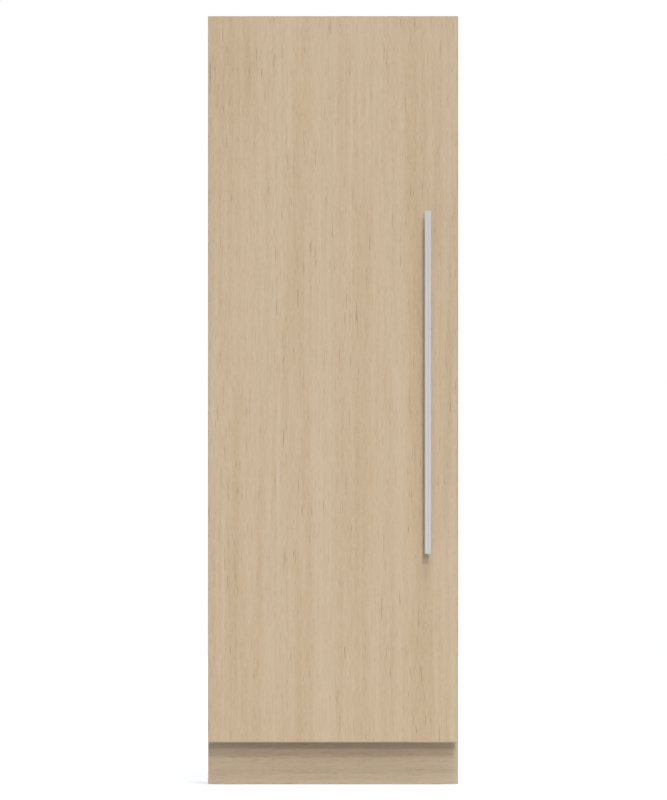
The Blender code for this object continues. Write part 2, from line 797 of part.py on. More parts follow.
def build_drawers():
    """Three large drawers in the grooves and a low one on the cavity floor."""
    front = FLANGE_Y + DRAWER_RECESS
    rear = AIR_COVER_Y - AIR_COVER_THICK - DRAWER_REAR_GAP
    for number in range(1, DRAWER_COUNT + 1):
        rim = groove_height(number) + FIT
        top = rim + RIM_THICK + GROOVE_BELOW_TOP / 2
        bottom = groove_height(number) + GROOVE_BELOW_TOP - DRAWER_PITCH + DRAWER_TOP_GAP
        build_drawer(f"drawer_{number}", front, rear, bottom, top, rim)
    low_rear = HUMP_FRONT_Y - DRAWER_REAR_GAP
    low_top = HUMP_TOP - LOW_DRAWER_TOP_GAP
    build_drawer(f"drawer_{DRAWER_COUNT + 1}", front, low_rear, CAVITY_FLOOR + FIT, low_top, None)


def build_shelves():
    """Two glass shelves with a trim along the front edge."""
    front = FLANGE_Y + SHELF_FRONT
    rear = AIR_COVER_Y - AIR_COVER_THICK - SHELF_REAR_GAP
    half = HALF_CAVITY - 2 * FIT
    for name, level in (("lower_shelf", LOWER_SHELF_Z), ("upper_shelf", UPPER_SHELF_Z)):
        top = level + SHELF_GLASS
        glass = box(name, (-half, front, level), (half, rear, top), "glass")
        trim = box(
            f"{name}_trim",
            (-half, front - SHELF_TRIM_DEPTH, top - SHELF_TRIM_HEIGHT),
            (half, front + FIT, top),
        )
        join(glass, trim)


def coil_path(x_low, x_high, z_low, z_high, runs, y):
    """A serpentine of level runs joined by half turns, which swings back and forth across x."""
    rise = (z_high - z_low) / (runs - 1)
    points = []
    for i in range(runs):
        level = z_low + i * rise
        start, end = (x_low, x_high) if i % 2 == 0 else (x_high, x_low)
        out = 1 if end > start else -1
        points += [(start, y, level), (end, y, level)]
        if i < runs - 1:
            for step in range(1, 4):
                angle = math.pi * step / 4
                reach = out * rise / 2 * math.sin(angle)
                points.append((end + reach, y, level + rise / 2 * (1 - math.cos(angle))))
    return points


def finned_coil(name, low, high, tube_radius, runs, fins, fin_thick, finish):
    """A serpentine tube through a row of upright fins. The fins fill the box from low to high."""
    rise = (high[2] - low[2]) / runs
    mid_y = (low[1] + high[1]) / 2
    bend = rise / 2 + tube_radius
    path = coil_path(low[0] + bend, high[0] - bend, low[2] + rise / 2, high[2] - rise / 2, runs, mid_y)
    coil = tube(name, path, tube_radius, finish, sides=6)
    first, last = low[0] + 2 * bend, high[0] - 2 * bend
    for i in range(fins):
        x = first + (last - first) * i / (fins - 1)
        half = fin_thick / 2
        fin = box(f"{name}_fin_{i}", (x - half, low[1], low[2]), (x + half, high[1], high[2]))
        join(coil, fin)
    return coil


def fan_blades(name, radius):
    """The twisted blades of a fan that turns about Z, as helper boxes."""
    blades = []
    reach = radius - FAN_HUB_RADIUS / 2
    middle = (radius + FAN_HUB_RADIUS / 2) / 2
    chord = FAN_DEPTH * FAN_BLADE_CHORD_SHARE / math.sin(FAN_BLADE_PITCH)
    for i in range(FAN_BLADES):
        blade = box(
            f"{name}_blade_{i}",
            (-reach / 2, -chord / 2, -FAN_BLADE_THICK / 2),
            (reach / 2, chord / 2, FAN_BLADE_THICK / 2),
        )
        turn = Matrix.Rotation(2 * math.pi * i / FAN_BLADES, 4, "Z")
        tilt = Matrix.Rotation(FAN_BLADE_PITCH, 4, "X")
        blade.data.transform(turn @ Matrix.Translation((middle, 0, 0)) @ tilt)
        blades.append(blade)
    return blades


def build_fan(name, centre, turn, radius, finish, frame_finish):
    """A fan and its frame about a hub centre. The frame carries the motor and the shaft.

    The fan is drawn about Z, and turn points its +Z end, the free end of the shaft, where it looks.
    """
    centre = Vector(centre)
    hub = cylinder(name, (0, 0, 0), "Z", FAN_HUB_RADIUS, FAN_DEPTH, finish)
    join(hub, *fan_blades(name, radius))
    bore = FAN_SHAFT_RADIUS + FAN_SHAFT_CLEARANCE
    cut(hub, cylinder(f"{name}_bore", (0, 0, 0), "Z", bore, FAN_DEPTH + 2 * OVERRUN))

    inside = radius + FAN_TIP_GAP
    outside = inside + FAN_RING_WIDTH
    back = -FAN_DEPTH / 2 - FAN_RUNNING_GAP
    ring_low = back - FAN_STRUT_THICK
    frame = outline(
        f"{name}_frame",
        [ring_of((0, 0), outside, 2 * ROUND_SIDES), ring_of((0, 0), inside, 2 * ROUND_SIDES)],
        "XY",
        ring_low,
        ring_low + FAN_RING_DEPTH,
        frame_finish,
    )
    strut_half = inside + FAN_RING_WIDTH / 2
    strut = outline(
        f"{name}_strut",
        [rectangle((-strut_half, -FAN_STRUT_WIDTH / 2), (strut_half, FAN_STRUT_WIDTH / 2))],
        "XY",
        ring_low,
        back,
    )
    motor = cylinder(
        f"{name}_motor", (0, 0, back - FAN_MOTOR_DEPTH / 2), "Z", FAN_MOTOR_RADIUS, FAN_MOTOR_DEPTH
    )
    shaft_end = FAN_DEPTH / 2
    shaft_start = back - FAN_STRUT_THICK / 2
    shaft = cylinder(
        f"{name}_shaft",
        (0, 0, (shaft_start + shaft_end) / 2),
        "Z",
        FAN_SHAFT_RADIUS,
        shaft_end - shaft_start,
    )
    join(frame, strut, motor, shaft)
    axis = axis_empty(f"{name}_axis", (0, 0, 0))
    mount = axis_empty(f"{name}_mount", (0, 0, 0))
    hang(axis, hub)
    hang(mount, frame)
    for empty in (axis, mount):
        empty.location = centre
        empty.rotation_euler = turn
    return frame


def fan_frame_radius(radius):
    return radius + FAN_TIP_GAP + FAN_RING_WIDTH


def build_evaporator():
    """The coil, the fan and the slotted air cover at the back of the cavity, and the drain tube."""
    half = HALF_CAVITY - FIT
    low_z = HUMP_TOP + FIT
    cover = box(
        "evaporator_cover",
        (-half, AIR_COVER_Y - AIR_COVER_THICK, low_z),
        (half, AIR_COVER_Y, CAVITY_TOP - FIT),
        "liner_white",
    )
    coil_low = HUMP_TOP + COIL_RISE
    rear = CAVITY_REAR_Y - FIT
    finned_coil(
        "evaporator_coil",
        (-COIL_HALF_WIDTH, rear - COIL_DEPTH, coil_low),
        (COIL_HALF_WIDTH, rear, coil_low + COIL_HEIGHT),
        COIL_TUBE,
        COIL_RUNS,
        COIL_FINS,
        COIL_FIN,
        "aluminium",
    )
    fan_z = coil_low + COIL_HEIGHT + EVAPORATOR_FAN_RISE
    fan_y = AIR_COVER_Y + FIT + FAN_RING_FRONT
    forward = Matrix.Rotation(math.pi / 2, 4, "X").to_euler()
    build_fan(
        "evaporator_fan",
        (0, fan_y, fan_z),
        forward,
        EVAPORATOR_FAN_RADIUS,
        "black_plastic",
        "grey_plastic",
    )
    mouth = cylinder(
        "fan_mouth",
        (0, AIR_COVER_Y, fan_z),
        "Y",
        EVAPORATOR_FAN_RADIUS,
        2 * (AIR_COVER_THICK + OVERRUN),
        sides=2 * ROUND_SIDES,
    )
    cut(cover, mouth)
    rows = [
        (UPPER_SHELF_Z + SHELF_GLASS + AIR_SLOT_SPREAD, AIR_SLOT_COUNT),
        (LOWER_SHELF_Z + SHELF_GLASS + AIR_SLOT_SPREAD, AIR_SLOT_COUNT),
        (HUMP_TOP + AIR_INTAKE_RISE, 1),
    ]
    for row, (level, count) in enumerate(rows):
        for i in range(count):
            z = level + i * AIR_SLOT_PITCH
            slot = box(
                f"air_slot_{row}_{i}",
                (-AIR_SLOT_WIDTH / 2, AIR_COVER_Y - AIR_COVER_THICK - OVERRUN, z),
                (AIR_SLOT_WIDTH / 2, AIR_COVER_Y + OVERRUN, z + AIR_SLOT_HEIGHT),
            )
            cut(cover, slot)
    lip = DRAIN_RADIUS + DRAIN_LIP
    top = HUMP_TOP + FIT + DRAIN_LIP_THICK
    bottom = MACHINE_TOP - DRAIN_BELOW
    drain = turned(
        "drain_tube",
        [
            (DRAIN_BORE, top),
            (lip, top),
            (lip, HUMP_TOP + FIT),
            (DRAIN_RADIUS, HUMP_TOP + FIT),
            (DRAIN_RADIUS, bottom),
            (DRAIN_BORE, bottom),
            (DRAIN_BORE, top),
        ],
        (COMPRESSOR_X, DRAIN_Y, 0),
        "grey_plastic",
    )
    return drain


def build_base():
    """The base tray with its roller ears and axles, and the rail that holds the toe kick."""
    tray_front = NOTCH_Y
    tray_rear = REAR_Y - SHEET - FIT
    tray = box(
        "base_tray",
        (-HALF_INSIDE_CASE, tray_front, TRAY_HEIGHT),
        (HALF_INSIDE_CASE, tray_rear, TRAY_HEIGHT + TRAY_FLANGE),
        "galvanised",
    )
    inside = box(
        "tray_inside",
        (-HALF_INSIDE_CASE + TRAY_SHEET, tray_front + TRAY_SHEET, TRAY_TOP),
        (HALF_INSIDE_CASE - TRAY_SHEET, tray_rear - TRAY_SHEET, TRAY_HEIGHT + TRAY_FLANGE + OVERRUN),
    )
    cut(tray, inside)
    for side, hand in ((-1, "left"), (1, "right")):
        x = side * (HALF_CASE - FOOT_INSET)
        hole = cylinder(
            f"{hand}_stud_hole",
            (x, NOTCH_Y + FOOT_BACK, TRAY_HEIGHT),
            "Z",
            STUD_RADIUS + FIT,
            2 * (TRAY_SHEET + OVERRUN),
        )
        cut(tray, hole)
        add_roller_mount(tray, x, hand)
    toe_rail = [
        (TOE_BACK_Y + FIT, TRAY_HEIGHT + TRAY_FLANGE + FIT + RAIL_FACE),
        (TOE_BACK_Y + FIT, TRAY_HEIGHT + TRAY_FLANGE + FIT),
        (TOE_BACK_Y + FIT + RAIL_LEG, TRAY_HEIGHT + TRAY_FLANGE + FIT),
    ]
    outline(
        "toe_kick_rail", [folded(toe_rail, RAIL_SHEET)], "YZ", -RAIL_LENGTH / 2, RAIL_LENGTH / 2, "galvanised"
    )
    kick = box(
        "toe_kick_panel",
        (-HALF_PANEL, TOE_FRONT_Y, TOE_FLOOR_GAP),
        (HALF_PANEL, TOE_BACK_Y, TOE_TOP),
        "oak",
    )
    bevel(kick, PANEL_ARRIS)


def add_roller_mount(tray, x, hand):
    """Two ears under the tray with the axle between them."""
    y = REAR_Y - ROLLER_REAR
    inner = ROLLER_WIDTH / 2 + EAR_GAP
    for side, where in ((-1, "near"), (1, "far")):
        low, high = sorted((x + side * inner, x + side * (inner + EAR_THICK)))
        ear = box(
            f"{hand}_{where}_ear",
            (low, y - EAR_HALF_DEPTH, ROLLER_RADIUS - EAR_BELOW_AXLE),
            (high, y + EAR_HALF_DEPTH, TRAY_HEIGHT + TRAY_SHEET / 2),
        )
        join(tray, ear)
    axle = cylinder(
        f"{hand}_axle", (x, y, ROLLER_RADIUS), "X", AXLE_RADIUS, 2 * inner + EAR_THICK, sides=12
    )
    join(tray, axle)


def build_feet_and_rollers():
    """Two screw feet at the front and two rollers at the rear, each on its own axis."""
    for side, hand in ((-1, "left"), (1, "right")):
        x = side * (HALF_CASE - FOOT_INSET)
        axis = axis_empty(f"{hand}_foot_axis", (x, NOTCH_Y + FOOT_BACK, 0))
        collar_top = TRAY_HEIGHT - FIT
        foot = turned(
            f"{hand}_foot",
            [
                (0, STUD_TOP),
                (STUD_RADIUS, STUD_TOP),
                (STUD_RADIUS, collar_top),
                (COLLAR_RADIUS, collar_top),
                (COLLAR_RADIUS, collar_top - COLLAR_HEIGHT),
                (STUD_RADIUS, collar_top - COLLAR_HEIGHT),
                (STUD_RADIUS, FOOT_PAD_HEIGHT + FOOT_PAD_CONE),
                (FOOT_RADIUS, FOOT_PAD_HEIGHT),
                (FOOT_RADIUS, 0),
                (0, 0),
            ],
            (x, NOTCH_Y + FOOT_BACK, 0),
            "black_plastic",
        )
        hang(axis, foot)
        y = REAR_Y - ROLLER_REAR
        roller_axis = axis_empty(f"{hand}_roller_axis", (x, y, ROLLER_RADIUS))
        roller = cylinder(
            f"{hand}_roller",
            (x, y, ROLLER_RADIUS),
            "X",
            ROLLER_RADIUS,
            ROLLER_WIDTH,
            "black_plastic",
            sides=2 * ROUND_SIDES,
        )
        bore = cylinder(
            f"{hand}_roller_bore", (x, y, ROLLER_RADIUS), "X", ROLLER_BORE, ROLLER_WIDTH + 2 * OVERRUN
        )
        cut(roller, bore)
        hang(roller_axis, roller)


def build_machine_compartment():
    """Compressor, drip tray, condenser with its fan, control box, rear cover and mains inlet."""
    floor = TRAY_TOP + FIT
    y = COMPARTMENT_MID_Y
    plate_top = floor + COMPRESSOR_PLATE_THICK
    crown = plate_top + COMPRESSOR_HEIGHT
    seam = plate_top + (COMPRESSOR_HEIGHT - COMPRESSOR_DOME) / 2
    shoulder = crown - COMPRESSOR_DOME
    flat = COMPRESSOR_RADIUS - COMPRESSOR_DOME
    dome = [
        (
            flat + COMPRESSOR_DOME * math.sin(math.pi / 2 * i / 4),
            shoulder + COMPRESSOR_DOME * math.cos(math.pi / 2 * i / 4),
        )
        for i in range(5)
    ]
    pot = turned(
        "compressor",
        [
            (0, crown),
            *dome,
            (COMPRESSOR_RADIUS, seam + COMPRESSOR_SEAM_HEIGHT),
            (COMPRESSOR_RADIUS + COMPRESSOR_SEAM, seam + COMPRESSOR_SEAM_HEIGHT),
            (COMPRESSOR_RADIUS + COMPRESSOR_SEAM, seam),
            (COMPRESSOR_RADIUS, seam),
            (COMPRESSOR_RADIUS, plate_top - COMPRESSOR_PLATE_THICK / 2),
            (0, plate_top - COMPRESSOR_PLATE_THICK / 2),
        ],
        (COMPRESSOR_X, y, 0),
        "black_enamel",
        sides=2 * ROUND_SIDES,
    )
    plate = box(
        "compressor_plate",
        (COMPRESSOR_X - COMPRESSOR_REACH, y - COMPRESSOR_PLATE_DEPTH / 2, floor),
        (COMPRESSOR_X + COMPRESSOR_REACH, y + COMPRESSOR_PLATE_DEPTH / 2, plate_top),
    )
    terminals = box(
        "compressor_terminals",
        (COMPRESSOR_X - TERMINAL_BOX / 2, y - COMPRESSOR_REACH, plate_top + COMPRESSOR_SEAM_HEIGHT),
        (COMPRESSOR_X + TERMINAL_BOX / 2, y, plate_top + COMPRESSOR_SEAM_HEIGHT + TERMINAL_BOX),
    )
    join(pot, plate, terminals)

    basin = box(
        "drip_tray",
        (COMPRESSOR_X - DRIP_TRAY_WIDTH / 2, DRAIN_Y - DRIP_TRAY_DEPTH / 2, crown + FIT),
        (COMPRESSOR_X + DRIP_TRAY_WIDTH / 2, DRAIN_Y + DRIP_TRAY_DEPTH / 2, crown + FIT + DRIP_TRAY_HEIGHT),
        "black_plastic",
    )
    basin_room = box(
        "drip_tray_inside",
        (
            COMPRESSOR_X - DRIP_TRAY_WIDTH / 2 + DRIP_TRAY_WALL,
            DRAIN_Y - DRIP_TRAY_DEPTH / 2 + DRIP_TRAY_WALL,
            crown + FIT + DRIP_TRAY_WALL,
        ),
        (
            COMPRESSOR_X + DRIP_TRAY_WIDTH / 2 - DRIP_TRAY_WALL,
            DRAIN_Y + DRIP_TRAY_DEPTH / 2 - DRIP_TRAY_WALL,
            crown + FIT + DRIP_TRAY_HEIGHT + OVERRUN,
        ),
    )
    cut(basin, basin_room)

    finned_coil(
        "condenser_coil",
        (CONDENSER_LEFT, y - CONDENSER_DEPTH / 2, floor),
        (CONDENSER_LEFT + CONDENSER_WIDTH, y + CONDENSER_DEPTH / 2, floor + CONDENSER_HEIGHT),
        CONDENSER_TUBE,
        CONDENSER_RUNS,
        CONDENSER_FINS,
        CONDENSER_FIN,
        "black_enamel",
    )
    outside = fan_frame_radius(CONDENSER_FAN_RADIUS)
    fan_z = floor + outside
    sideways = Matrix.Rotation(math.pi / 2, 4, "Y").to_euler()
    build_fan(
        "condenser_fan",
        (CONDENSER_FAN_X, y, fan_z),
        sideways,
        CONDENSER_FAN_RADIUS,
        "black_plastic",
        "grey_plastic",
    )

    rear = REAR_Y - SHEET - INLET_DEPTH - CONTROL_BOX_INLET_GAP
    housing = box(
        "control_box",
        (CONTROL_BOX_LEFT, rear - CONTROL_BOX_DEPTH, floor),
        (CONTROL_BOX_RIGHT, rear, floor + CONTROL_BOX_HEIGHT),
        "black_plastic",
    )
    bevel(housing, INLET_WALL)
    build_machine_cover()


def build_machine_cover():
    """The slotted rear cover, with the mains inlet in its cut-out."""
    back = REAR_Y - SHEET
    cover = box(
        "machine_cover",
        (-HALF_INSIDE_CASE, back, TRAY_HEIGHT),
        (HALF_INSIDE_CASE, REAR_Y, MACHINE_TOP - FIT),
        "galvanised",
    )
    middle = (TRAY_HEIGHT + MACHINE_TOP) / 2
    for row in range(VENT_ROWS):
        z = middle + (row - (VENT_ROWS - 1) / 2) * VENT_PITCH
        for column in range(VENT_COLUMNS):
            x = HALF_CASE - VENT_CENTRE_INSET + (column - (VENT_COLUMNS - 1) / 2) * VENT_COLUMN_PITCH
            vent = box(
                f"vent_{row}_{column}",
                (x - VENT_WIDTH / 2, back - OVERRUN, z - VENT_HEIGHT / 2),
                (x + VENT_WIDTH / 2, REAR_Y + OVERRUN, z + VENT_HEIGHT / 2),
            )
            cut(cover, vent)
    half = Vector((INLET_WIDTH / 2, 0, INLET_HEIGHT / 2))
    centre = Vector((INLET_X, 0, INLET_Z))
    opening = box(
        "inlet_opening",
        centre - half + Vector((-FIT, back - OVERRUN, -FIT)),
        centre + half + Vector((FIT, REAR_Y + OVERRUN, FIT)),
    )
    cut(cover, opening)
    shell = box(
        "mains_inlet",
        centre - half + Vector((0, back - INLET_DEPTH, 0)),
        centre + half + Vector((0, REAR_Y, 0)),
        "black_plastic",
    )
    flange = box(
        "inlet_flange",
        centre - half + Vector((-INLET_FLANGE, back - FIT - INLET_FLANGE_THICK, -INLET_FLANGE)),
        centre + half + Vector((INLET_FLANGE, back - FIT, INLET_FLANGE)),
    )
    socket = box(
        "inlet_socket",
        centre - half + Vector((INLET_WALL, back - INLET_DEPTH + INLET_WALL, INLET_WALL)),
        centre + half + Vector((-INLET_WALL, REAR_Y + OVERRUN, -INLET_WALL)),
    )
    join(shell, flange)
    cut(shell, socket)
    start = back - INLET_DEPTH + INLET_WALL / 2
    for i in (-1, 0, 1):
        x = INLET_X + i * INLET_PIN_PITCH
        pin = box(
            f"inlet_pin_{i + 1}",
            (x - INLET_PIN_WIDTH / 2, start, INLET_Z - INLET_PIN_HEIGHT / 2),
            (x + INLET_PIN_WIDTH / 2, start + INLET_PIN_LENGTH, INLET_Z + INLET_PIN_HEIGHT / 2),
        )
        join(shell, pin)


def build_controls():
    """The control panel under the cavity ceiling, and the key that is pressed up into it."""
    front = FLANGE_Y + CONTROL_RECESS
    bottom = CAVITY_TOP - FIT - CONTROL_HEIGHT
    housing = box(
        "control_panel",
        (-CONTROL_WIDTH / 2, front, bottom),
        (CONTROL_WIDTH / 2, front + CONTROL_DEPTH, CAVITY_TOP - FIT),
        "grey_plastic",
    )
    centre = Vector((KEY_OFFSET, front + CONTROL_DEPTH / 2, bottom - KEY_PROUD))
    well_length = KEY_LENGTH + KEY_TRAVEL + KEY_CLEARANCE
    well = cylinder(
        "key_well",
        centre + Vector((0, 0, (well_length - OVERRUN) / 2)),
        "Z",
        KEY_RADIUS + KEY_CLEARANCE,
        well_length + OVERRUN,
    )
    cut(housing, well)
    axis = axis_empty("control_key_slide", centre)
    key = cylinder(
        "control_key", centre + Vector((0, 0, KEY_LENGTH / 2)), "Z", KEY_RADIUS, KEY_LENGTH, "satin_steel"
    )
    hang(axis, key)


def build_ice_maker():
    """The ice maker's housing, the tray that turns over to tip out the ice, and the bin below."""
    left = -HALF_CAVITY + ICE_MODULE_SIDE_GAP
    right = left + ICE_MODULE_WIDTH
    front = FLANGE_Y + CONTROL_RECESS + CONTROL_DEPTH + ICE_MODULE_CONTROL_GAP
    rear = AIR_COVER_Y - AIR_COVER_THICK - ICE_MODULE_REAR_GAP
    top = CAVITY_TOP - FIT
    wall = ICE_MODULE_WALL
    bottom = top - ICE_MODULE_HEIGHT
    housing = box("ice_maker_housing", (left, front, bottom), (right, rear, top), "grey_plastic")
    room = box(
        "ice_maker_room",
        (left + wall, front + wall, bottom - OVERRUN),
        (right - wall, rear - wall, top - wall),
    )
    cut(housing, room)
    x = (left + right) / 2
    z = top - wall - ICE_TRAY_HALF_WIDTH - ICE_TRAY_SWING_GAP
    length = rear - front - 2 * (wall + ICE_TRAY_END_GAP)
    middle = (front + rear) / 2
    pivot_length = rear - front
    pivot_hole = cylinder(
        "ice_pivot_holes",
        (x, middle, z),
        "Y",
        ICE_PIVOT_RADIUS + ICE_PIVOT_CLEARANCE,
        pivot_length + 2 * OVERRUN,
    )
    cut(housing, pivot_hole)
    axis = axis_empty("ice_tray_axis", (x, middle, z))
    tray = box(
        "ice_tray",
        (x - ICE_TRAY_HALF_WIDTH, middle - length / 2, z - ICE_TRAY_HEIGHT / 2),
        (x + ICE_TRAY_HALF_WIDTH, middle + length / 2, z + ICE_TRAY_HEIGHT / 2),
        "grey_plastic",
    )
    cup_length = (length - ICE_CUP_WALL) / ICE_CUP_ROWS - ICE_CUP_WALL
    cup_width = (2 * ICE_TRAY_HALF_WIDTH - ICE_CUP_WALL) / ICE_CUP_COLUMNS - ICE_CUP_WALL
    join(tray, cylinder("ice_pivots", (x, middle, z), "Y", ICE_PIVOT_RADIUS, pivot_length, sides=12))
    for row in range(ICE_CUP_ROWS):
        y = middle - length / 2 + ICE_CUP_WALL + row * (cup_length + ICE_CUP_WALL)
        for column in range(ICE_CUP_COLUMNS):
            cup_x = x - ICE_TRAY_HALF_WIDTH + ICE_CUP_WALL + column * (cup_width + ICE_CUP_WALL)
            cup = box(
                f"ice_cup_{row}_{column}",
                (cup_x, y, z - ICE_TRAY_HEIGHT / 2 + ICE_TRAY_FLOOR),
                (cup_x + cup_width, y + cup_length, z + ICE_TRAY_HEIGHT / 2 + OVERRUN),
            )
            cut(tray, cup)
    hang(axis, tray)

    bin_front = FLANGE_Y + ICE_BIN_FRONT
    bin_floor = UPPER_SHELF_Z + SHELF_GLASS + FIT
    bin_axis = axis_empty("ice_bin_slide", (x, bin_front, bin_floor))
    bin_tub = tapered_tub(
        "ice_bin",
        ICE_BIN_WIDTH / 2,
        bin_front,
        AIR_COVER_Y - AIR_COVER_THICK - ICE_BIN_REAR_GAP,
        bin_floor,
        bin_floor + ICE_BIN_HEIGHT,
        DRAWER_DRAFT,
        ICE_BIN_WALL,
        centre_x=x,
    )
    hang(bin_axis, bin_tub)


def turned_by(vector, angle):
    """A plan vector turned anticlockwise, seen from above."""
    return Matrix.Rotation(angle, 2) @ Vector(vector)


def slot_pin_track():
    """The fixed pin's path over the door leaf, in places at rest, as the door goes from shut to open."""
    track = []
    for i in range(SLOT_STEPS + 1):
        opening = DOOR_OPENING * i / SLOT_STEPS
        pivot = LINK_PIVOT + turned_by(LEAF_PIVOT - LINK_PIVOT, LINK_TURN_SHARE * opening)
        track.append(LEAF_PIVOT + turned_by(SLOT_PIN - pivot, opening))
    return track


def build_hinge(name, level, up, link_axis, door_axis):
    """One hinge, in three layers away from the door's edge: the door leaf, the link and the cabinet plate."""

    def layer(start, thick):
        return sorted((level + up * start, level + up * (start + thick)))

    leaf_start = FIT
    link_start = leaf_start + HINGE_LEAF_THICK + HINGE_LAYER_GAP
    plate_start = link_start + HINGE_LINK_THICK + HINGE_LAYER_GAP
    pin_hole = HINGE_PIN_RADIUS + HINGE_PIN_CLEARANCE

    track = slot_pin_track()
    slot = band(track, pin_hole)
    xs = [p.x for p in slot]
    ys = [p.y for p in slot]
    low = (min(min(xs), LEAF_PIVOT.x - HINGE_PIN_RADIUS) - LEAF_WALL, min(ys) - LEAF_WALL)
    high = (max(xs) + LEAF_TAIL, max(ys) + LEAF_WALL)
    leaf_low, leaf_high = layer(leaf_start, HINGE_LEAF_THICK)
    leaf = outline(
        f"{name}_hinge_leaf", [rectangle(low, high), slot], "XY", leaf_low, leaf_high, "galvanised"
    )
    pin_low, pin_high = layer(leaf_start, plate_start - leaf_start)
    knuckle = outline(
        f"{name}_leaf_pin",
        [ring_of(LEAF_PIVOT, HINGE_PIN_RADIUS)],
        "XY",
        pin_low if up > 0 else pin_low + HINGE_LAYER_GAP,
        pin_high - HINGE_LAYER_GAP if up > 0 else pin_high,
    )
    join(leaf, knuckle)
    hang(door_axis, leaf)

    reach = LINK_PIVOT - LEAF_PIVOT
    outward = Vector((reach.y, -reach.x)).normalized()
    elbow = LEAF_PIVOT + reach * LINK_BOW_PLACE_SHARE + outward * LINK_BOW
    link_low, link_high = layer(link_start, HINGE_LINK_THICK)
    link = outline(
        f"{name}_hinge_link",
        [
            band((LINK_PIVOT, elbow, LEAF_PIVOT), LINK_EYE_RADIUS),
            ring_of(LINK_PIVOT, pin_hole),
            ring_of(LEAF_PIVOT, pin_hole),
        ],
        "XY",
        link_low,
        link_high,
        "galvanised",
    )
    hang(link_axis, link)

    foot_left = SLOT_PIN.x - PLATE_FINGER_HALF
    foot_front = FLANGE_Y + PLATE_FOOT_FRONT
    foot_high = (foot_left + PLATE_FOOT_WIDTH, foot_front + PLATE_FOOT_DEPTH)
    eye_left = LINK_PIVOT.x - LINK_EYE_RADIUS
    finger_front = SLOT_PIN.y - PLATE_FINGER_HALF
    plate_outline = [
        (foot_left, finger_front),
        (foot_left + 2 * PLATE_FINGER_HALF, finger_front),
        (foot_left + 2 * PLATE_FINGER_HALF, foot_front),
        (foot_high[0], foot_front),
        foot_high,
        (eye_left, foot_high[1]),
        (eye_left, LINK_PIVOT.y - LINK_EYE_RADIUS),
        (foot_left, LINK_PIVOT.y - LINK_EYE_RADIUS),
    ]
    plate_low, plate_high = layer(plate_start, HINGE_PLATE_THICK)
    plate = outline(f"{name}_hinge_plate", [plate_outline], "XY", plate_low, plate_high, "galvanised")
    foot_low_z, foot_high_z = layer(FIT, plate_start + HINGE_PLATE_THICK / 2)
    foot = box(
        f"{name}_plate_foot",
        (foot_left + PLATE_FOOT_INSET, foot_front + PLATE_FOOT_INSET, foot_low_z),
        (foot_high[0] - PLATE_FOOT_INSET, foot_high[1] - PLATE_FOOT_INSET, foot_high_z),
    )
    slot_low, slot_high = layer(FIT, plate_start + HINGE_PLATE_THICK / 2)
    slot_pin = outline(f"{name}_slot_pin", [ring_of(SLOT_PIN, HINGE_PIN_RADIUS)], "XY", slot_low, slot_high)
    pivot_low, pivot_high = layer(link_start, plate_start - link_start + HINGE_PLATE_THICK / 2)
    pivot_pin = outline(
        f"{name}_pivot_pin", [ring_of(LINK_PIVOT, HINGE_PIN_RADIUS)], "XY", pivot_low, pivot_high
    )
    join(plate, foot, slot_pin, pivot_pin)


def build_door(door_axis):
    """The insulated door, its wood panel and the handle."""
    panel = box(
        "door_panel",
        (-HALF_PANEL, PANEL_FRONT_Y, PANEL_BOTTOM),
        (HALF_PANEL, PANEL_BACK_Y, PANEL_TOP),
        "oak",
    )
    bevel(panel, PANEL_ARRIS)

    frame_low = Vector((-HALF_DOOR + FRAME_EDGE_INSET, CASE_FLOOR + FRAME_EDGE_INSET))
    frame_high = Vector((HALF_DOOR - FRAME_EDGE_INSET, CASE_TOP - FRAME_EDGE_INSET))
    rail = Vector((FRAME_RAIL, FRAME_RAIL))
    frame = outline(
        "panel_mounting_frame",
        [rectangle(frame_low, frame_high), rectangle(frame_low + rail, frame_high - rail)],
        "XZ",
        PANEL_BACK_Y + FIT,
        DOOR_FRONT_Y - FIT,
        "galvanised",
    )

    skin = box(
        "door_skin",
        (-HALF_DOOR, DOOR_FRONT_Y, CASE_FLOOR),
        (HALF_DOOR, DOOR_BACK_Y - DOOR_LINER_THICK - FIT, CASE_TOP),
        "painted_steel",
    )
    inner = DOOR_SHEET
    skin_room = box(
        "door_skin_room",
        (-HALF_DOOR + inner, DOOR_FRONT_Y + inner, CASE_FLOOR + inner),
        (HALF_DOOR - inner, DOOR_BACK_Y + OVERRUN, CASE_TOP - inner),
    )
    cut(skin, skin_room)

    filling = inner + FIT
    back = DOOR_BACK_Y - DOOR_LINER_THICK - FIT
    foam = box(
        "door_insulation",
        (-HALF_DOOR + filling, DOOR_FRONT_Y + filling, CASE_FLOOR + filling),
        (HALF_DOOR - filling, back, CASE_TOP - filling),
        "foam",
    )
    join(foam, door_plug("door_foam_plug", DOOR_LINER_THICK + FIT, back - OVERRUN))

    liner = box(
        "door_liner",
        (-HALF_DOOR, DOOR_BACK_Y - DOOR_LINER_THICK, CASE_FLOOR),
        (HALF_DOOR, DOOR_BACK_Y, CASE_TOP),
        "liner_white",
    )
    join(liner, door_plug("door_liner_plug", 0, DOOR_BACK_Y - DOOR_LINER_THICK / 2))
    cut(liner, door_plug("door_liner_hollow", DOOR_LINER_THICK, back - OVERRUN))

    outer = Vector((HALF_CASE - GASKET_INSET, CASE_TOP - GASKET_INSET))
    low = Vector((-outer.x, CASE_FLOOR + GASKET_INSET))
    lip = Vector((GASKET_WIDTH, GASKET_WIDTH))
    gasket = outline(
        "door_gasket",
        [rectangle(low, outer), rectangle(low + lip, outer - lip)],
        "XZ",
        DOOR_BACK_Y + FIT,
        FLANGE_Y - FIT,
        "grey_rubber",
    )
    bevel(gasket, GASKET_ROUND)
    hang(door_axis, panel, frame, skin, foam, liner, gasket)
    build_handle(door_axis)


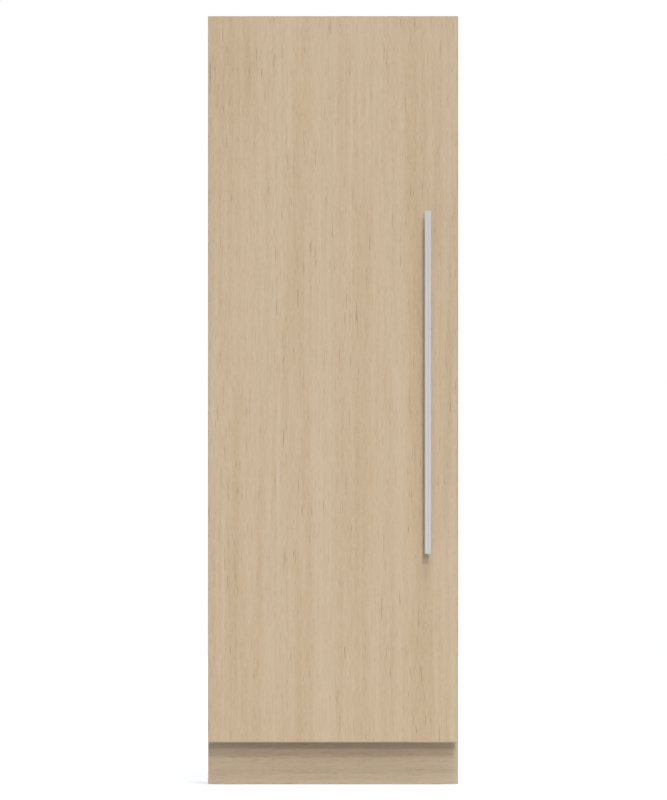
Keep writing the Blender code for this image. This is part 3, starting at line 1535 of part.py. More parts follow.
def door_plug(name, inset, start):
    """The tapered plateau on the door's back that enters the cavity, smaller all round by inset."""
    half = HALF_CAVITY - PLUG_SIDE_CLEARANCE - inset
    low = CAVITY_FLOOR + PLUG_SIDE_CLEARANCE + inset
    high = CAVITY_TOP - PLUG_SIDE_CLEARANCE - inset
    plug = box(name, (-half, start, low), (half, DOOR_BACK_Y + PLUG_HEIGHT - inset, high))
    for vertex in plug.data.vertices:
        rise = vertex.co.y + plug.location.y - DOOR_BACK_Y
        lean = PLUG_TAPER * rise / PLUG_HEIGHT
        vertex.co.x -= math.copysign(lean, vertex.co.x)
        vertex.co.z -= math.copysign(lean, vertex.co.z)
    return plug


def build_handle(door_axis):
    """The square bar on its two posts."""
    x = HALF_PANEL - BAR_INSET
    bar_back = PANEL_FRONT_Y - FINGER_GAP
    low_z = BAR_CENTRE_HEIGHT - BAR_LENGTH / 2
    high_z = BAR_CENTRE_HEIGHT + BAR_LENGTH / 2
    bar = box(
        "handle_bar",
        (x - BAR_WIDTH / 2, bar_back - BAR_DEPTH, low_z),
        (x + BAR_WIDTH / 2, bar_back, high_z),
        "satin_steel",
    )
    bevel(bar, BAR_EDGE)
    hang(door_axis, bar)
    for name, z in (("lower", low_z + POST_INSET), ("upper", high_z - POST_INSET)):
        post = box(
            f"{name}_handle_post",
            (x - POST_SIZE / 2, bar_back + FIT, z - POST_SIZE / 2),
            (x + POST_SIZE / 2, PANEL_FRONT_Y - FIT, z + POST_SIZE / 2),
            "satin_steel",
        )
        hang(door_axis, post)


def main():
    link_axis = axis_empty("link_axis", (*LINK_PIVOT, CASE_FLOOR))
    door_axis = axis_empty("door_axis", (*LEAF_PIVOT, CASE_FLOOR), link_axis)
    build_casing()
    build_insulation()
    build_mouldings()
    build_drawers()
    build_shelves()
    build_evaporator()
    build_base()
    build_feet_and_rollers()
    build_machine_compartment()
    build_controls()
    build_ice_maker()
    build_hinge("top", CASE_TOP, 1, link_axis, door_axis)
    build_hinge("bottom", CASE_FLOOR, -1, link_axis, door_axis)
    build_door(door_axis)


main()
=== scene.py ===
from math import cos, pi, radians, sin, sqrt

import bmesh
import bpy
from mathutils import Matrix, Vector


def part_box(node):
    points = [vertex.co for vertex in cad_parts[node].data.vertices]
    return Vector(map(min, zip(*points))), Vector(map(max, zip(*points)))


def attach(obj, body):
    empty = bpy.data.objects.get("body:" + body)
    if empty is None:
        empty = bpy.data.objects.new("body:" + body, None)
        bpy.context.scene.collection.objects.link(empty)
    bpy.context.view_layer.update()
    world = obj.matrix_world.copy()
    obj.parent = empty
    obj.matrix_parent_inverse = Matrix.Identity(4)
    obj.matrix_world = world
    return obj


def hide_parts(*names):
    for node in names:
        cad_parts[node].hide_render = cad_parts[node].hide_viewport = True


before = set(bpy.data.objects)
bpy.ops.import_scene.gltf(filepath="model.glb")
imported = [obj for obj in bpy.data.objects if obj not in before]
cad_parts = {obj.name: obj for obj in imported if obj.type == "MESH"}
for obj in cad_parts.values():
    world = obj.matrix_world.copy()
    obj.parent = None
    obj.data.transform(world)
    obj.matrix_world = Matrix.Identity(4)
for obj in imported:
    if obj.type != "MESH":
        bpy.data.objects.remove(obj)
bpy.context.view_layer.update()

# An integrated column freezer behind an oak door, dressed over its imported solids. All places are in
# metres in the row frame: +X to the right of someone facing the door, +Y to the back, +Z up.

TURN = 2 * pi
SMOOTH_ANGLE = radians(38)
SIDES = ((-1, "left", "-X"), (1, "right", "+X"))


def corners(node):
    """The lowest and highest corner of a CAD node."""
    low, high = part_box(node)
    return Vector(low), Vector(high)


def mm(*points, start=(0, 0, 0)):
    """Points given in millimetres from the start, in metres."""
    return [tuple(base + value / 1000 for base, value in zip(start, point)) for point in points]


def spread(start, end, count):
    """Evenly spaced values from start to end."""
    return [start + i * (end - start) / (count - 1) for i in range(count)]


def circle(count):
    """Evenly spaced angles round a circle."""
    return [TURN * i / count for i in range(count)]


def given(thing, **settings):
    """The thing, with its settings made."""
    for key, value in settings.items():
        setattr(thing, key, value)
    return thing


FRONT = corners("front_flange")[0].y
PANEL_LOW, PANEL_HIGH = corners("door_panel")
LINER_LOW, LINER_HIGH = corners("inner_liner")


# Materials


def triple(value):
    """Three equal numbers from one. Three numbers stay as they are."""
    return value if isinstance(value, tuple) else (value,) * 3


def tone(colour, share):
    """The colour times one share, or times a share for each channel."""
    return tuple(channel * part for channel, part in zip(colour, triple(share)))


class Nodes:
    """A node tree in the making."""

    def __init__(self, tree):
        self.tree = tree

    def feed(self, socket, value):
        if isinstance(value, bpy.types.NodeSocket):
            self.tree.links.new(value, socket)
        else:
            socket.default_value = value

    def node(self, kind, inputs=None, **settings):
        made = given(self.tree.nodes.new("ShaderNode" + kind), **settings)
        for key, value in (inputs or {}).items():
            self.feed(made.inputs[key], value)
        return made

    def math(self, operation, first, second=0):
        return self.node("Math", {0: first, 1: second}, operation=operation).outputs[0]

    def vector(self, operation, inputs, output=0):
        return self.node("VectorMath", inputs, operation=operation).outputs[output]

    def total(self, *terms):
        """The sum of values, each times its weight."""
        parts = [self.math("MULTIPLY", value, weight) for value, weight in terms]
        result = parts[0]
        for part in parts[1:]:
            result = self.math("ADD", result, part)
        return result

    def level(self, value, low, high, start=0, end=1):
        """A value that goes from low to high while the given one goes from start to end, and no further."""
        inputs = {"Value": value, "From Min": start, "From Max": end, "To Min": low, "To Max": high}
        return self.node("MapRange", inputs).outputs[0]

    def blend(self, factor, first, second):
        """A colour between two colours."""
        inputs = {0: factor, 6: (*first, 1), 7: (*second, 1)}
        return self.node("Mix", inputs, data_type="RGBA").outputs[2]

    def darken(self, colour, factor, depth):
        """The colour, darker by depth where the factor is 1."""
        keep = self.math("SUBTRACT", 1, self.math("MULTIPLY", factor, depth))
        return self.vector("SCALE", {0: colour, 3: keep})


class Look(Nodes):
    """A material in the making, on object coordinates, which are row-frame metres on every piece."""

    def __init__(self, name, colour, roughness, metallic=0, **constants):
        self.material = bpy.data.materials.new(name)
        self.material.use_nodes = True
        super().__init__(self.material.node_tree)
        self.shader = self.tree.nodes["Principled BSDF"]
        self.colour = colour
        self.set("Base Color", (*colour, 1))
        for key, value in {"Roughness": roughness, "Metallic": metallic, **constants}.items():
            self.set(key.replace("_", " "), value)
        self.where = self.node("TexCoord").outputs["Object"]
        self.material.diffuse_color = (*colour, 1)

    def set(self, socket, value):
        self.feed(self.shader.inputs[socket], value)

    def tint(self, value, dark, light):
        """The material's colour, between two shares of it."""
        self.set("Base Color", self.blend(value, tone(self.colour, dark), tone(self.colour, light)))

    def roughen(self, value, smooth, rough):
        self.set("Roughness", self.level(value, smooth, rough))

    def bump(self, height, depth, strength=1):
        """Small relief. It is the last thing that a material gets, so it returns the material."""
        made = self.node("Bump", {"Height": height, "Distance": depth, "Strength": strength})
        self.set("Normal", made.outputs[0])
        return self.material

    def stretched(self, scale):
        return self.vector("MULTIPLY", {0: self.where, 1: triple(scale)})

    def noise(self, scale, detail=2, rough=0.5, output="Fac"):
        """Noise with this many blotches per metre, or so many along x, y and z."""
        inputs = {"Vector": self.stretched(scale), "Scale": 1, "Detail": detail, "Roughness": rough}
        return self.node("TexNoise", inputs).outputs[output]

    def cells(self, scale, output="Distance"):
        inputs = {"Vector": self.stretched(scale), "Scale": 1}
        return self.node("TexVoronoi", inputs).outputs[output]

    def warp(self, scale, reach):
        """Shifts every later pattern by up to reach, with slow noise."""
        centred = self.vector("SUBTRACT", {0: self.noise(scale, output="Color"), 1: (0.5, 0.5, 0.5)})
        grown = self.vector("SCALE", {0: centred, 3: 2 * reach})
        self.where = self.vector("ADD", {0: self.where, 1: grown})

    def spot(self, centre, reach):
        """1 within an ellipsoid round the centre, fading to 0 outside it."""
        away = self.vector("SUBTRACT", {0: self.where, 1: centre})
        away = self.vector("MULTIPLY", {0: away, 1: tuple(1 / r for r in reach)})
        far = self.vector("LENGTH", {0: away}, "Value")
        return self.level(far, 1, 0, 0.35, 1.25)


def grain(along, across, length):
    """Blotches per metre for a pattern that is stretched along axis 0, 1 or 2."""
    return tuple(length if axis == along else across for axis in range(3))


def oak(name, along, colour=(0.584, 0.457, 0.304), marks=(), lines=0.3):
    """Straight-grained pale oak veneer under a matt lacquer. Lines says how dark its open vessels are."""
    look = Look(name, colour, 0.5, Specular_IOR_Level=0.3)
    look.warp(grain(along, 6, 1.5), 0.004)
    bands = look.noise(grain(along, 21, 0.32), 2)
    streaks = look.noise(grain(along, 95, 2.4), 3, 0.55)
    flecks = look.noise(grain(along, 230, 24), 2, 0.6)
    fibres = look.noise(grain(along, 400, 70), 2, 0.7)
    pore_noise = look.noise(grain(along, 640, 60), 2)
    vessel_noise = look.noise(grain(along, 310, 17), 1, 0.3)
    y, through = -0.28, 9
    figure = [(look.spot((x, y, z), (wide, through, tall)), weight) for x, z, wide, tall, weight in marks]
    value = look.total((bands, 0.22), (streaks, 0.26), (flecks, 0.23), (fibres, 0.29), *figure)
    contrast = 1.1
    value = look.level(value, 0, 1, 0.5 - 0.115 / contrast, 0.5 + 0.105 / contrast)
    ground = look.blend(value, tone(colour, (0.928, 0.885, 0.85)), tone(colour, (1.052, 1.062, 1.105)))
    pores = look.level(pore_noise, 0, 1, 0.57, 0.68)
    vessels = look.level(vessel_noise, 0, 1, 0.685, 0.745)
    ground = look.darken(ground, look.math("MULTIPLY", pores, look.level(value, 1, 0.12, 0, 0.62)), 0.18)
    ground = look.darken(ground, look.math("MULTIPLY", vessels, look.level(value, 1, 0.35)), lines)
    look.set("Base Color", ground)
    look.roughen(fibres, 0.46, 0.6)
    relief = look.math("SUBTRACT", look.math("MULTIPLY", fibres, 0.4), look.math("MULTIPLY", pores, 0.6))
    return look.bump(relief, 0.00012, 0.6)


def brushed(name, colour, roughness, along):
    """Brushed metal whose fine lines run along axis 0, 1 or 2."""
    look = Look(name, colour, roughness, 1, Anisotropic=0.5)
    lines = look.noise(grain(along, 2600, 9), 2, 0.7)
    wide = look.noise(grain(along, 312, 2), 2)
    look.tint(lines, 0.955, 1.035)
    look.roughen(look.total((lines, 0.6), (wide, 0.4)), roughness - 0.06, roughness + 0.07)
    return look.bump(lines, 0.000012, 0.5)


def painted(name, colour, roughness, peel=0.00003):
    """A paint or powder coat with a fine orange peel and faint unevenness."""
    look = Look(name, colour, roughness)
    clouds = look.noise(5, 3)
    look.tint(clouds, 0.965, 1.03)
    look.roughen(clouds, roughness - 0.05, roughness + 0.06)
    return look.bump(look.noise(620), peel, 0.7)


def spangled(name, colour):
    """Hot-dip galvanised sheet: a frosty patchwork of crystals."""
    look = Look(name, colour, 0.4, 0.9)
    look.warp(40, 0.006)
    shade = look.node("SeparateColor", {0: look.cells(75, "Color")}).outputs[0]
    look.tint(shade, 0.94, 1.06)
    look.roughen(look.total((shade, 0.75), (look.noise(700), 0.25)), 0.3, 0.55)
    return look.bump(shade, 0.00002, 0.5)


def moulded(name, colour, roughness, fineness=900, depth=0.00002, **constants):
    """A moulded plastic with a fine grain and faint flow marks."""
    look = Look(name, colour, roughness, **constants)
    texture = look.noise(fineness)
    look.tint(look.noise((9, 9, 4), 3), 0.96, 1.03)
    look.roughen(texture, roughness - 0.05, roughness + 0.07)
    return look.bump(texture, depth, 0.7)


def clear(name, colour, roughness, alpha, waves):
    """A clear sheet whose surface waves a little, as moulded plastic and rolled glass do."""
    look = Look(name, colour, roughness, Alpha=alpha)
    swell = look.noise(waves)
    look.tint(swell, 0.93, 1.04)
    look.roughen(swell, roughness, roughness + 0.08)
    look.material.diffuse_color = (*colour, alpha)
    return look.bump(swell, 0.0002, 0.25)


def foamed(name, colour):
    """Rigid foam with its cells and the skin's blotches."""
    look = Look(name, colour, 0.9)
    bubbles = look.cells(420)
    look.tint(look.noise(18, 4), 0.85, 1.08)
    look.roughen(bubbles, 0.8, 0.97)
    return look.bump(bubbles, 0.0004, 0.8)


def tarnished(name, colour, roughness):
    """A bare metal such as copper pipe, with hazy darker patches."""
    look = Look(name, colour, roughness, 1)
    haze = look.noise(60, 4, 0.6)
    look.tint(haze, 0.74, 1.08)
    look.roughen(haze, roughness - 0.08, roughness + 0.14)
    return look.bump(look.noise(1500), 0.00001, 0.5)


# The door veneer's broad streaks: x and z of the middle, half width, half height, and how much lighter
FIGURE = [
    (-0.015, 0.9, 0.034, 1.1, 0.05), (-0.19, 0.95, 0.015, 0.48, 0.04), (0.158, 0.85, 0.013, 0.9, 0.04),
    (-0.131, 0.8, 0.009, 0.7, 0.03), (-0.286, 0.8, 0.012, 0.7, 0.03), (-0.226, 1.742, 0.04, 0.16, -0.055),
    (-0.207, 1.73, 0.01, 0.11, -0.09), (-0.086, 1.4, 0.02, 0.42, -0.055), (-0.091, 1.26, 0.008, 0.13, -0.06),
    (0.068, 1.15, 0.02, 0.7, -0.045), (0.207, 1.2, 0.022, 0.64, -0.055), (-0.241, 0.458, 0.02, 0.23, -0.04),
    (0.22, 0.322, 0.042, 0.23, -0.04), (0.284, 0.976, 0.018, 0.2, -0.045),
]
OAK_UPRIGHT = oak("oak_upright", 2, marks=FIGURE)
# The toe kick's oak is a little cooler and paler than the door's: painted shade colour, so that the shade in
# its recess under the door renders a neutral grey-brown.
OAK_LEVEL_SHADE_TINTED = oak("oak_level_painted_shade_tint", 0, (0.588, 0.471, 0.328), lines=0.1)
# The edge band's oak is a little darker than the face veneer: partly the band's own tone, partly painted
# shade along the board's edges.
OAK_EDGE_TONE_AND_SHADE = oak("oak_edge_band_tone_and_shade", 2, (0.56, 0.438, 0.292))
OAK_EDGE_LEVEL_TONE_AND_SHADE = oak("oak_edge_band_level_tone_and_shade", 0, (0.56, 0.438, 0.292))
BOARD = foamed("board_core", (0.42, 0.31, 0.19))
SATIN = brushed("satin_steel", (0.586, 0.581, 0.577), 0.3, 2)
SATIN_LEVEL = brushed("satin_aluminium_trim", (0.66, 0.665, 0.67), 0.32, 0)
PAINT = painted("painted_steel", (0.5, 0.51, 0.52), 0.42)
PAINT_FLANGE = painted("painted_flange", (0.66, 0.67, 0.68), 0.35)
GALVANISED = spangled("galvanised_sheet", (0.5, 0.51, 0.52))
ZINC = tarnished("zinc_plating", (0.58, 0.59, 0.6), 0.32)
FOAM = foamed("insulating_foam", (0.8, 0.72, 0.5))
WHITE = moulded("white_liner", (0.83, 0.84, 0.85), 0.32, 500, 0.00001)
WHITE_TRIM = moulded("white_trim", (0.78, 0.79, 0.8), 0.38)
CLEAR = clear("clear_plastic", (0.72, 0.79, 0.83), 0.1, 0.16, 30)
GLASS = clear("shelf_glass", (0.62, 0.8, 0.74), 0.03, 0.18, 12)
RUBBER = moulded("grey_rubber", (0.3, 0.31, 0.32), 0.68, 1400, 0.00003)
BLACK = moulded("black_plastic", (0.028, 0.028, 0.03), 0.48)
GREY = moulded("grey_plastic", (0.38, 0.39, 0.41), 0.42)
FIN = tarnished("fin_aluminium", (0.7, 0.71, 0.72), 0.38)
ENAMEL = painted("black_enamel", (0.018, 0.018, 0.019), 0.28, 0.00004)
COPPER = tarnished("copper_pipe", (0.72, 0.37, 0.22), 0.3)
GLOW = {"Emission_Color": (1, 0.97, 0.92, 1), "Emission_Strength": 4}
DIFFUSER = moulded("lamp_diffuser", (0.86, 0.87, 0.88), 0.25, **GLOW)
FASCIA = moulded("black_fascia", (0.012, 0.012, 0.014), 0.1, 300, 0.000004)
MARKS = moulded("pale_marks", (0.75, 0.8, 0.84), 0.4)
ICE_WHITE = moulded("ice_tray_plastic", (0.55, 0.58, 0.62), 0.4)


# Shapes


def linked(name, data):
    """A new object in the scene."""
    made = bpy.data.objects.new(name, data)
    bpy.context.scene.collection.objects.link(made)
    return made


def spot(plane, across, up, level):
    """A place from two coordinates in a plane and one across it."""
    return {"XY": (across, up, level), "YZ": (level, across, up), "XZ": (across, level, up)}[plane]


def bends(low, high, radius, steps):
    """Going anticlockwise round a rectangle, the middle of each round corner with each angle of its bend."""
    middles = (
        (high[0] - radius, high[1] - radius), (low[0] + radius, high[1] - radius),
        (low[0] + radius, low[1] + radius), (high[0] - radius, low[1] + radius),
    )
    for i, middle in enumerate(middles):
        for turn in [j / steps for j in range(steps + 1)] if radius else [0.5]:
            yield *middle, TURN / 4 * (i + turn)


def rounded(low, high, radius, steps=4):
    """A rectangle with round corners, in two coordinates."""
    turns = bends(low, high, radius, steps)
    return [(x + radius * cos(turn), y + radius * sin(turn)) for x, y, turn in turns]


def ring(low, high, level, inset=0, radius=0, steps=4, plane="XZ"):
    """A loop round a box at a level across the plane, drawn in by inset and rounded if it has a radius."""
    a, b = ("XYZ".index(axis) for axis in plane)
    start, end = (low[a] + inset, low[b] + inset), (high[a] - inset, high[b] - inset)
    square = (start, (end[0], start[1]), end, (start[0], end[1]))
    points = rounded(start, end, radius, steps) if radius else square
    return [spot(plane, *point, level) for point in points]


def eased(points, steps=6):
    """A smooth path through the points."""
    places = [Vector(point) for point in points]
    ends = [2 * places[0] - places[1], *places, 2 * places[-1] - places[-2]]
    path = []
    for a, b, c, d in zip(ends, ends[1:], ends[2:], ends[3:]):
        for i in range(steps):
            t = i / steps
            square, cube = (2 * a - 5 * b + 4 * c - d) * t * t, (3 * b - 3 * c + d - a) * t * t * t
            path.append(0.5 * (2 * b + (c - a) * t + square + cube))
    return path + [places[-1]]


def serpentine(x0, x1, z0, z1, runs, y):
    """A path back and forth across x on one level of y, with round turns."""
    rise = (z1 - z0) / (runs - 1)
    points = []
    for i in range(runs):
        z = z0 + i * rise
        start, end = (x0, x1) if i % 2 == 0 else (x1, x0)
        points += [(start, y, z), (end, y, z)]
        if i < runs - 1:
            out = rise / 2 if end > start else -rise / 2
            turns = [pi * step / 8 for step in range(1, 8)]
            points += [(end + out * sin(turn), y, z + rise / 2 * (1 - cos(turn))) for turn in turns]
    return points


class Shape:
    """One piece, built from closed solids in row-frame metres."""

    def __init__(self):
        self.bm = bmesh.new()
        self.index = 0

    def skin(self, index):
        """Later solids take this one of the piece's materials."""
        self.index = index
        return self

    def face(self, verts):
        """A face in the solid's material."""
        self.bm.faces.new(verts).material_index = self.index

    def bridge(self, loops, closed):
        """A skin over rings of equal length or single points. Its ends are capped, or joined if closed."""
        rings = [[self.bm.verts.new(point) for point in loop] for loop in loops]
        for one, two in zip(rings, rings[1:] + rings[:1] if closed else rings[1:]):
            count = max(len(one), len(two))
            for i in range(count if count > 1 else 0):
                j = (i + 1) % count
                near = [one[i], one[j]] if len(one) > 1 else one
                self.face(near + ([two[j], two[i]] if len(two) > 1 else two))
        for cap in () if closed else (rings[0][::-1], rings[-1]):
            if len(cap) > 1:
                self.face(cap)
        return [vert for ring in rings for vert in ring]

    def loft(self, loops, closed=False, radius=0, segments=2):
        """A solid over loops of equal length, with softened edges if it has a radius."""
        verts = self.bridge(loops, closed)
        if radius:
            edges = list(dict.fromkeys(edge for vert in verts for edge in vert.link_edges))
            made = bmesh.ops.bevel(
                self.bm, geom=edges, offset=radius, segments=segments, profile=0.5, affect="EDGES",
                clamp_overlap=True, material=-1
            )
            for face in made["faces"]:
                face.material_index = self.index
        return self

    def prism(self, points, plane, low, high, radius=0, segments=2):
        loops = [[spot(plane, *point, level) for point in points] for level in (low, high)]
        return self.loft(loops, radius=radius, segments=segments)

    def box(self, low, high, radius=0, segments=2):
        low, high = tuple(map(min, low, high)), tuple(map(max, low, high))
        loops = [ring(low, high, level, plane="XY") for level in (low[2], high[2])]
        return self.loft(loops, radius=radius, segments=segments)

    def block(self, centre, half, radius=0, segments=2):
        """A box from its middle and half its size."""
        low, high = ([c + sign * h for c, h in zip(centre, half)] for sign in (-1, 1))
        return self.box(low, high, radius, segments)

    def lathe(self, profile, centre, axis="Z", steps=32, closed=False):
        """A turned solid about an axis. The profile is radius and height from the centre, which counts down
        on an axis such as "-Z". It goes from one end to the other, or all round if closed."""
        centre = Vector(centre)
        sign = -1 if axis[0] == "-" else 1
        plane = {"X": "YZ", "Y": "XZ", "Z": "XY"}[axis[-1]]
        loops = []
        for radius, height in profile:
            turns = circle(steps if radius > 1e-7 else 1)
            places = [spot(plane, radius * cos(turn), radius * sin(turn), sign * height) for turn in turns]
            loops.append([centre + Vector(place) for place in places])
        self.bridge(loops, closed)
        return self

    def tube(self, path, radius, sides=10):
        """A round bar along a path."""
        places = [Vector(point) for point in path]
        up = (places[1] - places[0]).normalized().orthogonal().normalized()
        loops = []
        for i, place in enumerate(places):
            along = (places[min(i + 1, len(places) - 1)] - places[max(i - 1, 0)]).normalized()
            up = (up - along * up.dot(along)).normalized()
            side = along.cross(up)
            loops.append([place + radius * (up * cos(turn) + side * sin(turn)) for turn in circle(sides)])
        return self.loft(loops)

    def rim(self, section, low, high, inset=0, radius=0, steps=3):
        """A section swept round a box in XZ. The section is reach outward and place along y."""
        start, end = (low[0] + inset, low[2] + inset), (high[0] - inset, high[2] - inset)
        grow = 1 if radius else sqrt(2)
        loops = []
        for x, z, turn in bends(start, end, radius, steps):
            reaches = [(radius + out * grow, y) for out, y in section]
            loops.append([(x + reach * cos(turn), y, z + reach * sin(turn)) for reach, y in reaches])
        return self.loft(loops, closed=True)

    def screws(self, places, axis, radius, height, sink=0):
        """Round screw heads on a face, that look along "+X", "-X", "+Y", "-Y", "+Z" or "-Z"."""
        head = ((0, 0), (1, 0), (1, 0.45), (0.86, 0.82), (0.55, 1), (0.36, 1), (0.3, 0.35), (0, 0.35))
        for place in places:
            self.lathe([(radius * out, height * up - sink) for out, up in head], place, axis, 16)
        return self

    def coil(self, low, high, rows, runs, margin, radius):
        """Serpentine rows of tube that fill a box. Returns where their bends start and how far they reach."""
        bend = (high.z - low.z) / runs / 2
        near, far = low.x + bend + margin, high.x - bend - margin
        for row in range(rows):
            y = low.y + (high.y - low.y) * (row + 0.5) / rows
            self.tube(serpentine(near, far, low.z + bend, high.z - bend, runs, y), radius)
        return near, far, bend

    def fins(self, low, high, margin, count, half):
        """Thin plates across a box, from margin to margin."""
        for x in spread(low.x + margin, high.x - margin, count):
            self.box((x - half, low.y, low.z), (x + half, high.y, high.z))

    def tub(self, low, high, corner, levels, draft=0.006):
        """An open tub. A level is inset, height and the share of the draft that sides and back lean in."""
        loops = []
        for inset, z, lean in levels:
            start = (low.x + inset + draft * lean, low.y + inset)
            end = (high.x - inset - draft * lean, high.y - inset - draft * lean)
            loops.append([(x, y, z) for x, y in rounded(start, end, corner - inset, 5)])
        return self.loft(loops)

    def done(self, name, materials, replaces=None, body="cabinet", angle=SMOOTH_ANGLE, outward=True):
        """Makes the piece. Its faces turn outward, unless they are already as they have to be."""
        if outward:
            bmesh.ops.recalc_face_normals(self.bm, faces=self.bm.faces)
        mesh = bpy.data.meshes.new(name)
        self.bm.to_mesh(mesh)
        self.bm.free()
        materials = materials if isinstance(materials, list) else [materials]
        for material in materials:
            mesh.materials.append(material)
        mesh.polygons.foreach_set("use_smooth", [True] * len(mesh.polygons))
        mesh.set_sharp_from_angle(angle=angle)
        made = linked(name, mesh)
        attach(made, body)
        if replaces:
            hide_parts(replaces)
        return made


def dress(material, *names, radius=0, segments=2):
    """Gives CAD nodes a material and, with a radius, rounded edges."""
    for name in names:
        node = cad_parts[name]
        node.data.materials.clear()
        node.data.materials.append(material)
        if radius:
            given(node.modifiers.new("Weld", "WELD"), merge_threshold=0.00002)
            given(node.modifiers.new("Flat", "DECIMATE"), decimate_type="DISSOLVE", angle_limit=radians(2))
            given(
                node.modifiers.new("Edges", "BEVEL"), width=radius, segments=segments, limit_method="ANGLE",
                angle_limit=radians(30), harden_normals=True
            )


# The oak door and toe kick


def veneered_board(name, node, face, body="cabinet"):
    """A board with a veneer sheet on both faces and a band round its edges, with fine joint lines."""
    low, high = corners(node)
    sheet, band, arris, joint = 0.0008, 0.002, 0.0008, 0.0001
    edges = Vector((band, sheet, band))
    Shape().box(low + edges, high - edges).done(f"{name}_core", BOARD, node, body)
    for part, near, far in (
        ("face_veneer", low.y + joint, low.y + sheet), ("back_veneer", high.y - joint, high.y - sheet)
    ):
        levels = ((joint, near), (0, near + (far - near) * 0.15), (0, far))
        skin = Shape().loft([ring(low, high, level, band + joint + inset) for inset, level in levels])
        skin.done(f"{name}_{part}", face, body=body)
    turn = [1 - sin(TURN / 4 * i / 3) for i in range(4)]
    front = [(-arris * turn[i], low.y + arris * turn[3 - i]) for i in range(4)]
    back = [(-arris * turn[3 - i], high.y - arris * turn[i]) for i in range(4)]
    edge = Shape().rim([(-band, high.y), (-band, low.y), *front, *back], low, high)
    for strip in edge.bm.faces:
        centre = strip.calc_center_median()
        level = min(centre.z - low.z, high.z - centre.z) < min(centre.x - low.x, high.x - centre.x)
        strip.material_index = 1 if level else 0
    edge.done(f"{name}_edge_band", [OAK_EDGE_TONE_AND_SHADE, OAK_EDGE_LEVEL_TONE_AND_SHADE], body=body)


def build_front():
    veneered_board("door_panel", "door_panel", OAK_UPRIGHT, "door")
    veneered_board("toe_kick", "toe_kick_panel", OAK_LEVEL_SHADE_TINTED)

    low, high = corners("handle_bar")
    arris = 0.0009
    front, back = spread(0, TURN / 4, 7), spread(0, TURN / 4, 5)
    levels = [(arris * (1 - sin(turn)), low.y + arris * (1 - cos(turn))) for turn in front]
    levels += [(arris * (1 - cos(turn)), high.y - arris * (1 - sin(turn))) for turn in back]
    bar = Shape().loft([ring(low, high, level, inset, 0.0005, 3) for inset, level in levels])
    bar.done("handle_bar_satin", SATIN, "handle_bar", "door")
    for end in ("lower", "upper"):
        low, high = corners(f"{end}_handle_post")
        middle = (low + high) / 2
        half = (high.x - low.x) / 2
        levels = mm((0, -0.6, 1), (0.6, 0, 1.2), start=(low.y, 0, 0))
        levels += mm((-2.4, 0, 1.2), (-2, 0.4, 1.4), (-1.6, 1.8, 2.2), start=(high.y, 0, 0))
        levels += mm((-0.2, 1.8, 2.2), (0, 1.5, 2), start=(high.y, 0, 0))
        post = Shape().loft([ring(middle, middle, y, -half - grow, radius) for y, grow, radius in levels])
        post.done(f"{end}_post_satin", SATIN, f"{end}_handle_post", "door")
        grub = Shape().screws([(high.x, middle.y - 0.01, middle.z)], "+X", 0.0022, 0.0006, 0.0002)
        grub.done(f"{end}_post_grub_screw", ZINC, body="door")


# The insulated door


def build_door():
    dress(PAINT, "door_skin", radius=0.0015, segments=3)
    dress(GALVANISED, "panel_mounting_frame", radius=0.0003, segments=1)

    skin_low, skin_high = corners("door_skin")
    edge_low, edge_high = corners("door_liner")
    plug_low, plug_high = Vector((-0.238, 0, 0.197)), Vector((0.238, 0, 1.776))
    thick, gap = 0.002, 0.0003
    y = edge_low.y + thick
    top = edge_high.y - y
    levels = [(None, 0.004, 0)]
    levels += mm((-30, 6, 0), (-28.5, 6, -1.2), (-9.5, 10, -1.2), (-8, 11, 0), (-1, 14, 0), (0.6, 15, 2))
    levels += mm(
        (5, 18, -3), (6.2, 18, -1), (8.5, 18, 0), (50, 22, 0), (51, 22, -0.3), (53, 22, -1.2),
        (54.5, 22, -1.5), (110, 26, -1.5), (111.2, 26, -1), (113, 26, -1), start=(0, 0, top)
    )

    def loop(inset, radius, rise, step=0):
        """A round-cornered loop, inset from the plug's foot, or at the liner's edge."""
        low, high = (edge_low, edge_high) if inset is None else (plug_low, plug_high)
        return ring(low, high, y + rise, (inset or 0) + step, radius, 5)

    back = []
    for i, (inset, radius, rise) in reversed(list(enumerate(levels))):
        step = thick if 5 < i < 11 else 0
        back.append(loop(inset, radius, rise - thick if i < 10 else top - 2 * thick, step))
    liner = Shape().loft(back + [loop(*level) for level in levels])
    liner.done("door_liner_moulded", WHITE, "door_liner", "door")

    shell = 0.0013
    loops = [loop(None, 0.003, skin_low.y + shell - y, shell), loop(None, 0.003, -thick - gap, shell)]
    for inset, radius, rise in levels[1:10]:
        step = thick + gap if inset > 0 else gap
        loops.append(loop(inset, radius, min(rise, top - 0.0015) - thick - gap, step))
    Shape().loft(loops).done("door_foam", FOAM, "door_insulation", "door")

    low, high = corners("door_gasket")
    half = [
        (8, 0), (8, 0.12), (6.2, 0.17), (5.6, 0.3), (7.6, 0.42), (5.6, 0.55), (6, 0.62), (8, 0.68),
        (8, 0.96), (7.6, 1), (2.6, 1), (2.2, 0.96),
    ]
    outline = [(-out, up) for out, up in half] + half[::-1]
    section = [(out / 1000 - 0.008, low.y + up * (high.y - low.y)) for out, up in outline]
    Shape().rim(section, low, high).done("door_seal_bellows", RUBBER, "door_gasket", "door")

    for side, hand, outward in SIDES:
        strap = Shape()
        near, far = side * skin_high.x, side * (skin_high.x + 0.0016)
        front, back = skin_low.y + 0.001, skin_low.y + 0.025
        for z in (0.24, 0.62, 0.98, 1.34, 1.72):
            strap.skin(0).box((near, front, z - 0.034), (far, back, z + 0.034), 0.0004)
            places = [(far, (front + back) / 2, z + shift) for shift in (-0.022, 0.022)]
            strap.skin(1).screws(places, outward, 0.0042, 0.0018)
        strap.done(f"{hand}_panel_straps", [GALVANISED, ZINC], body="door")


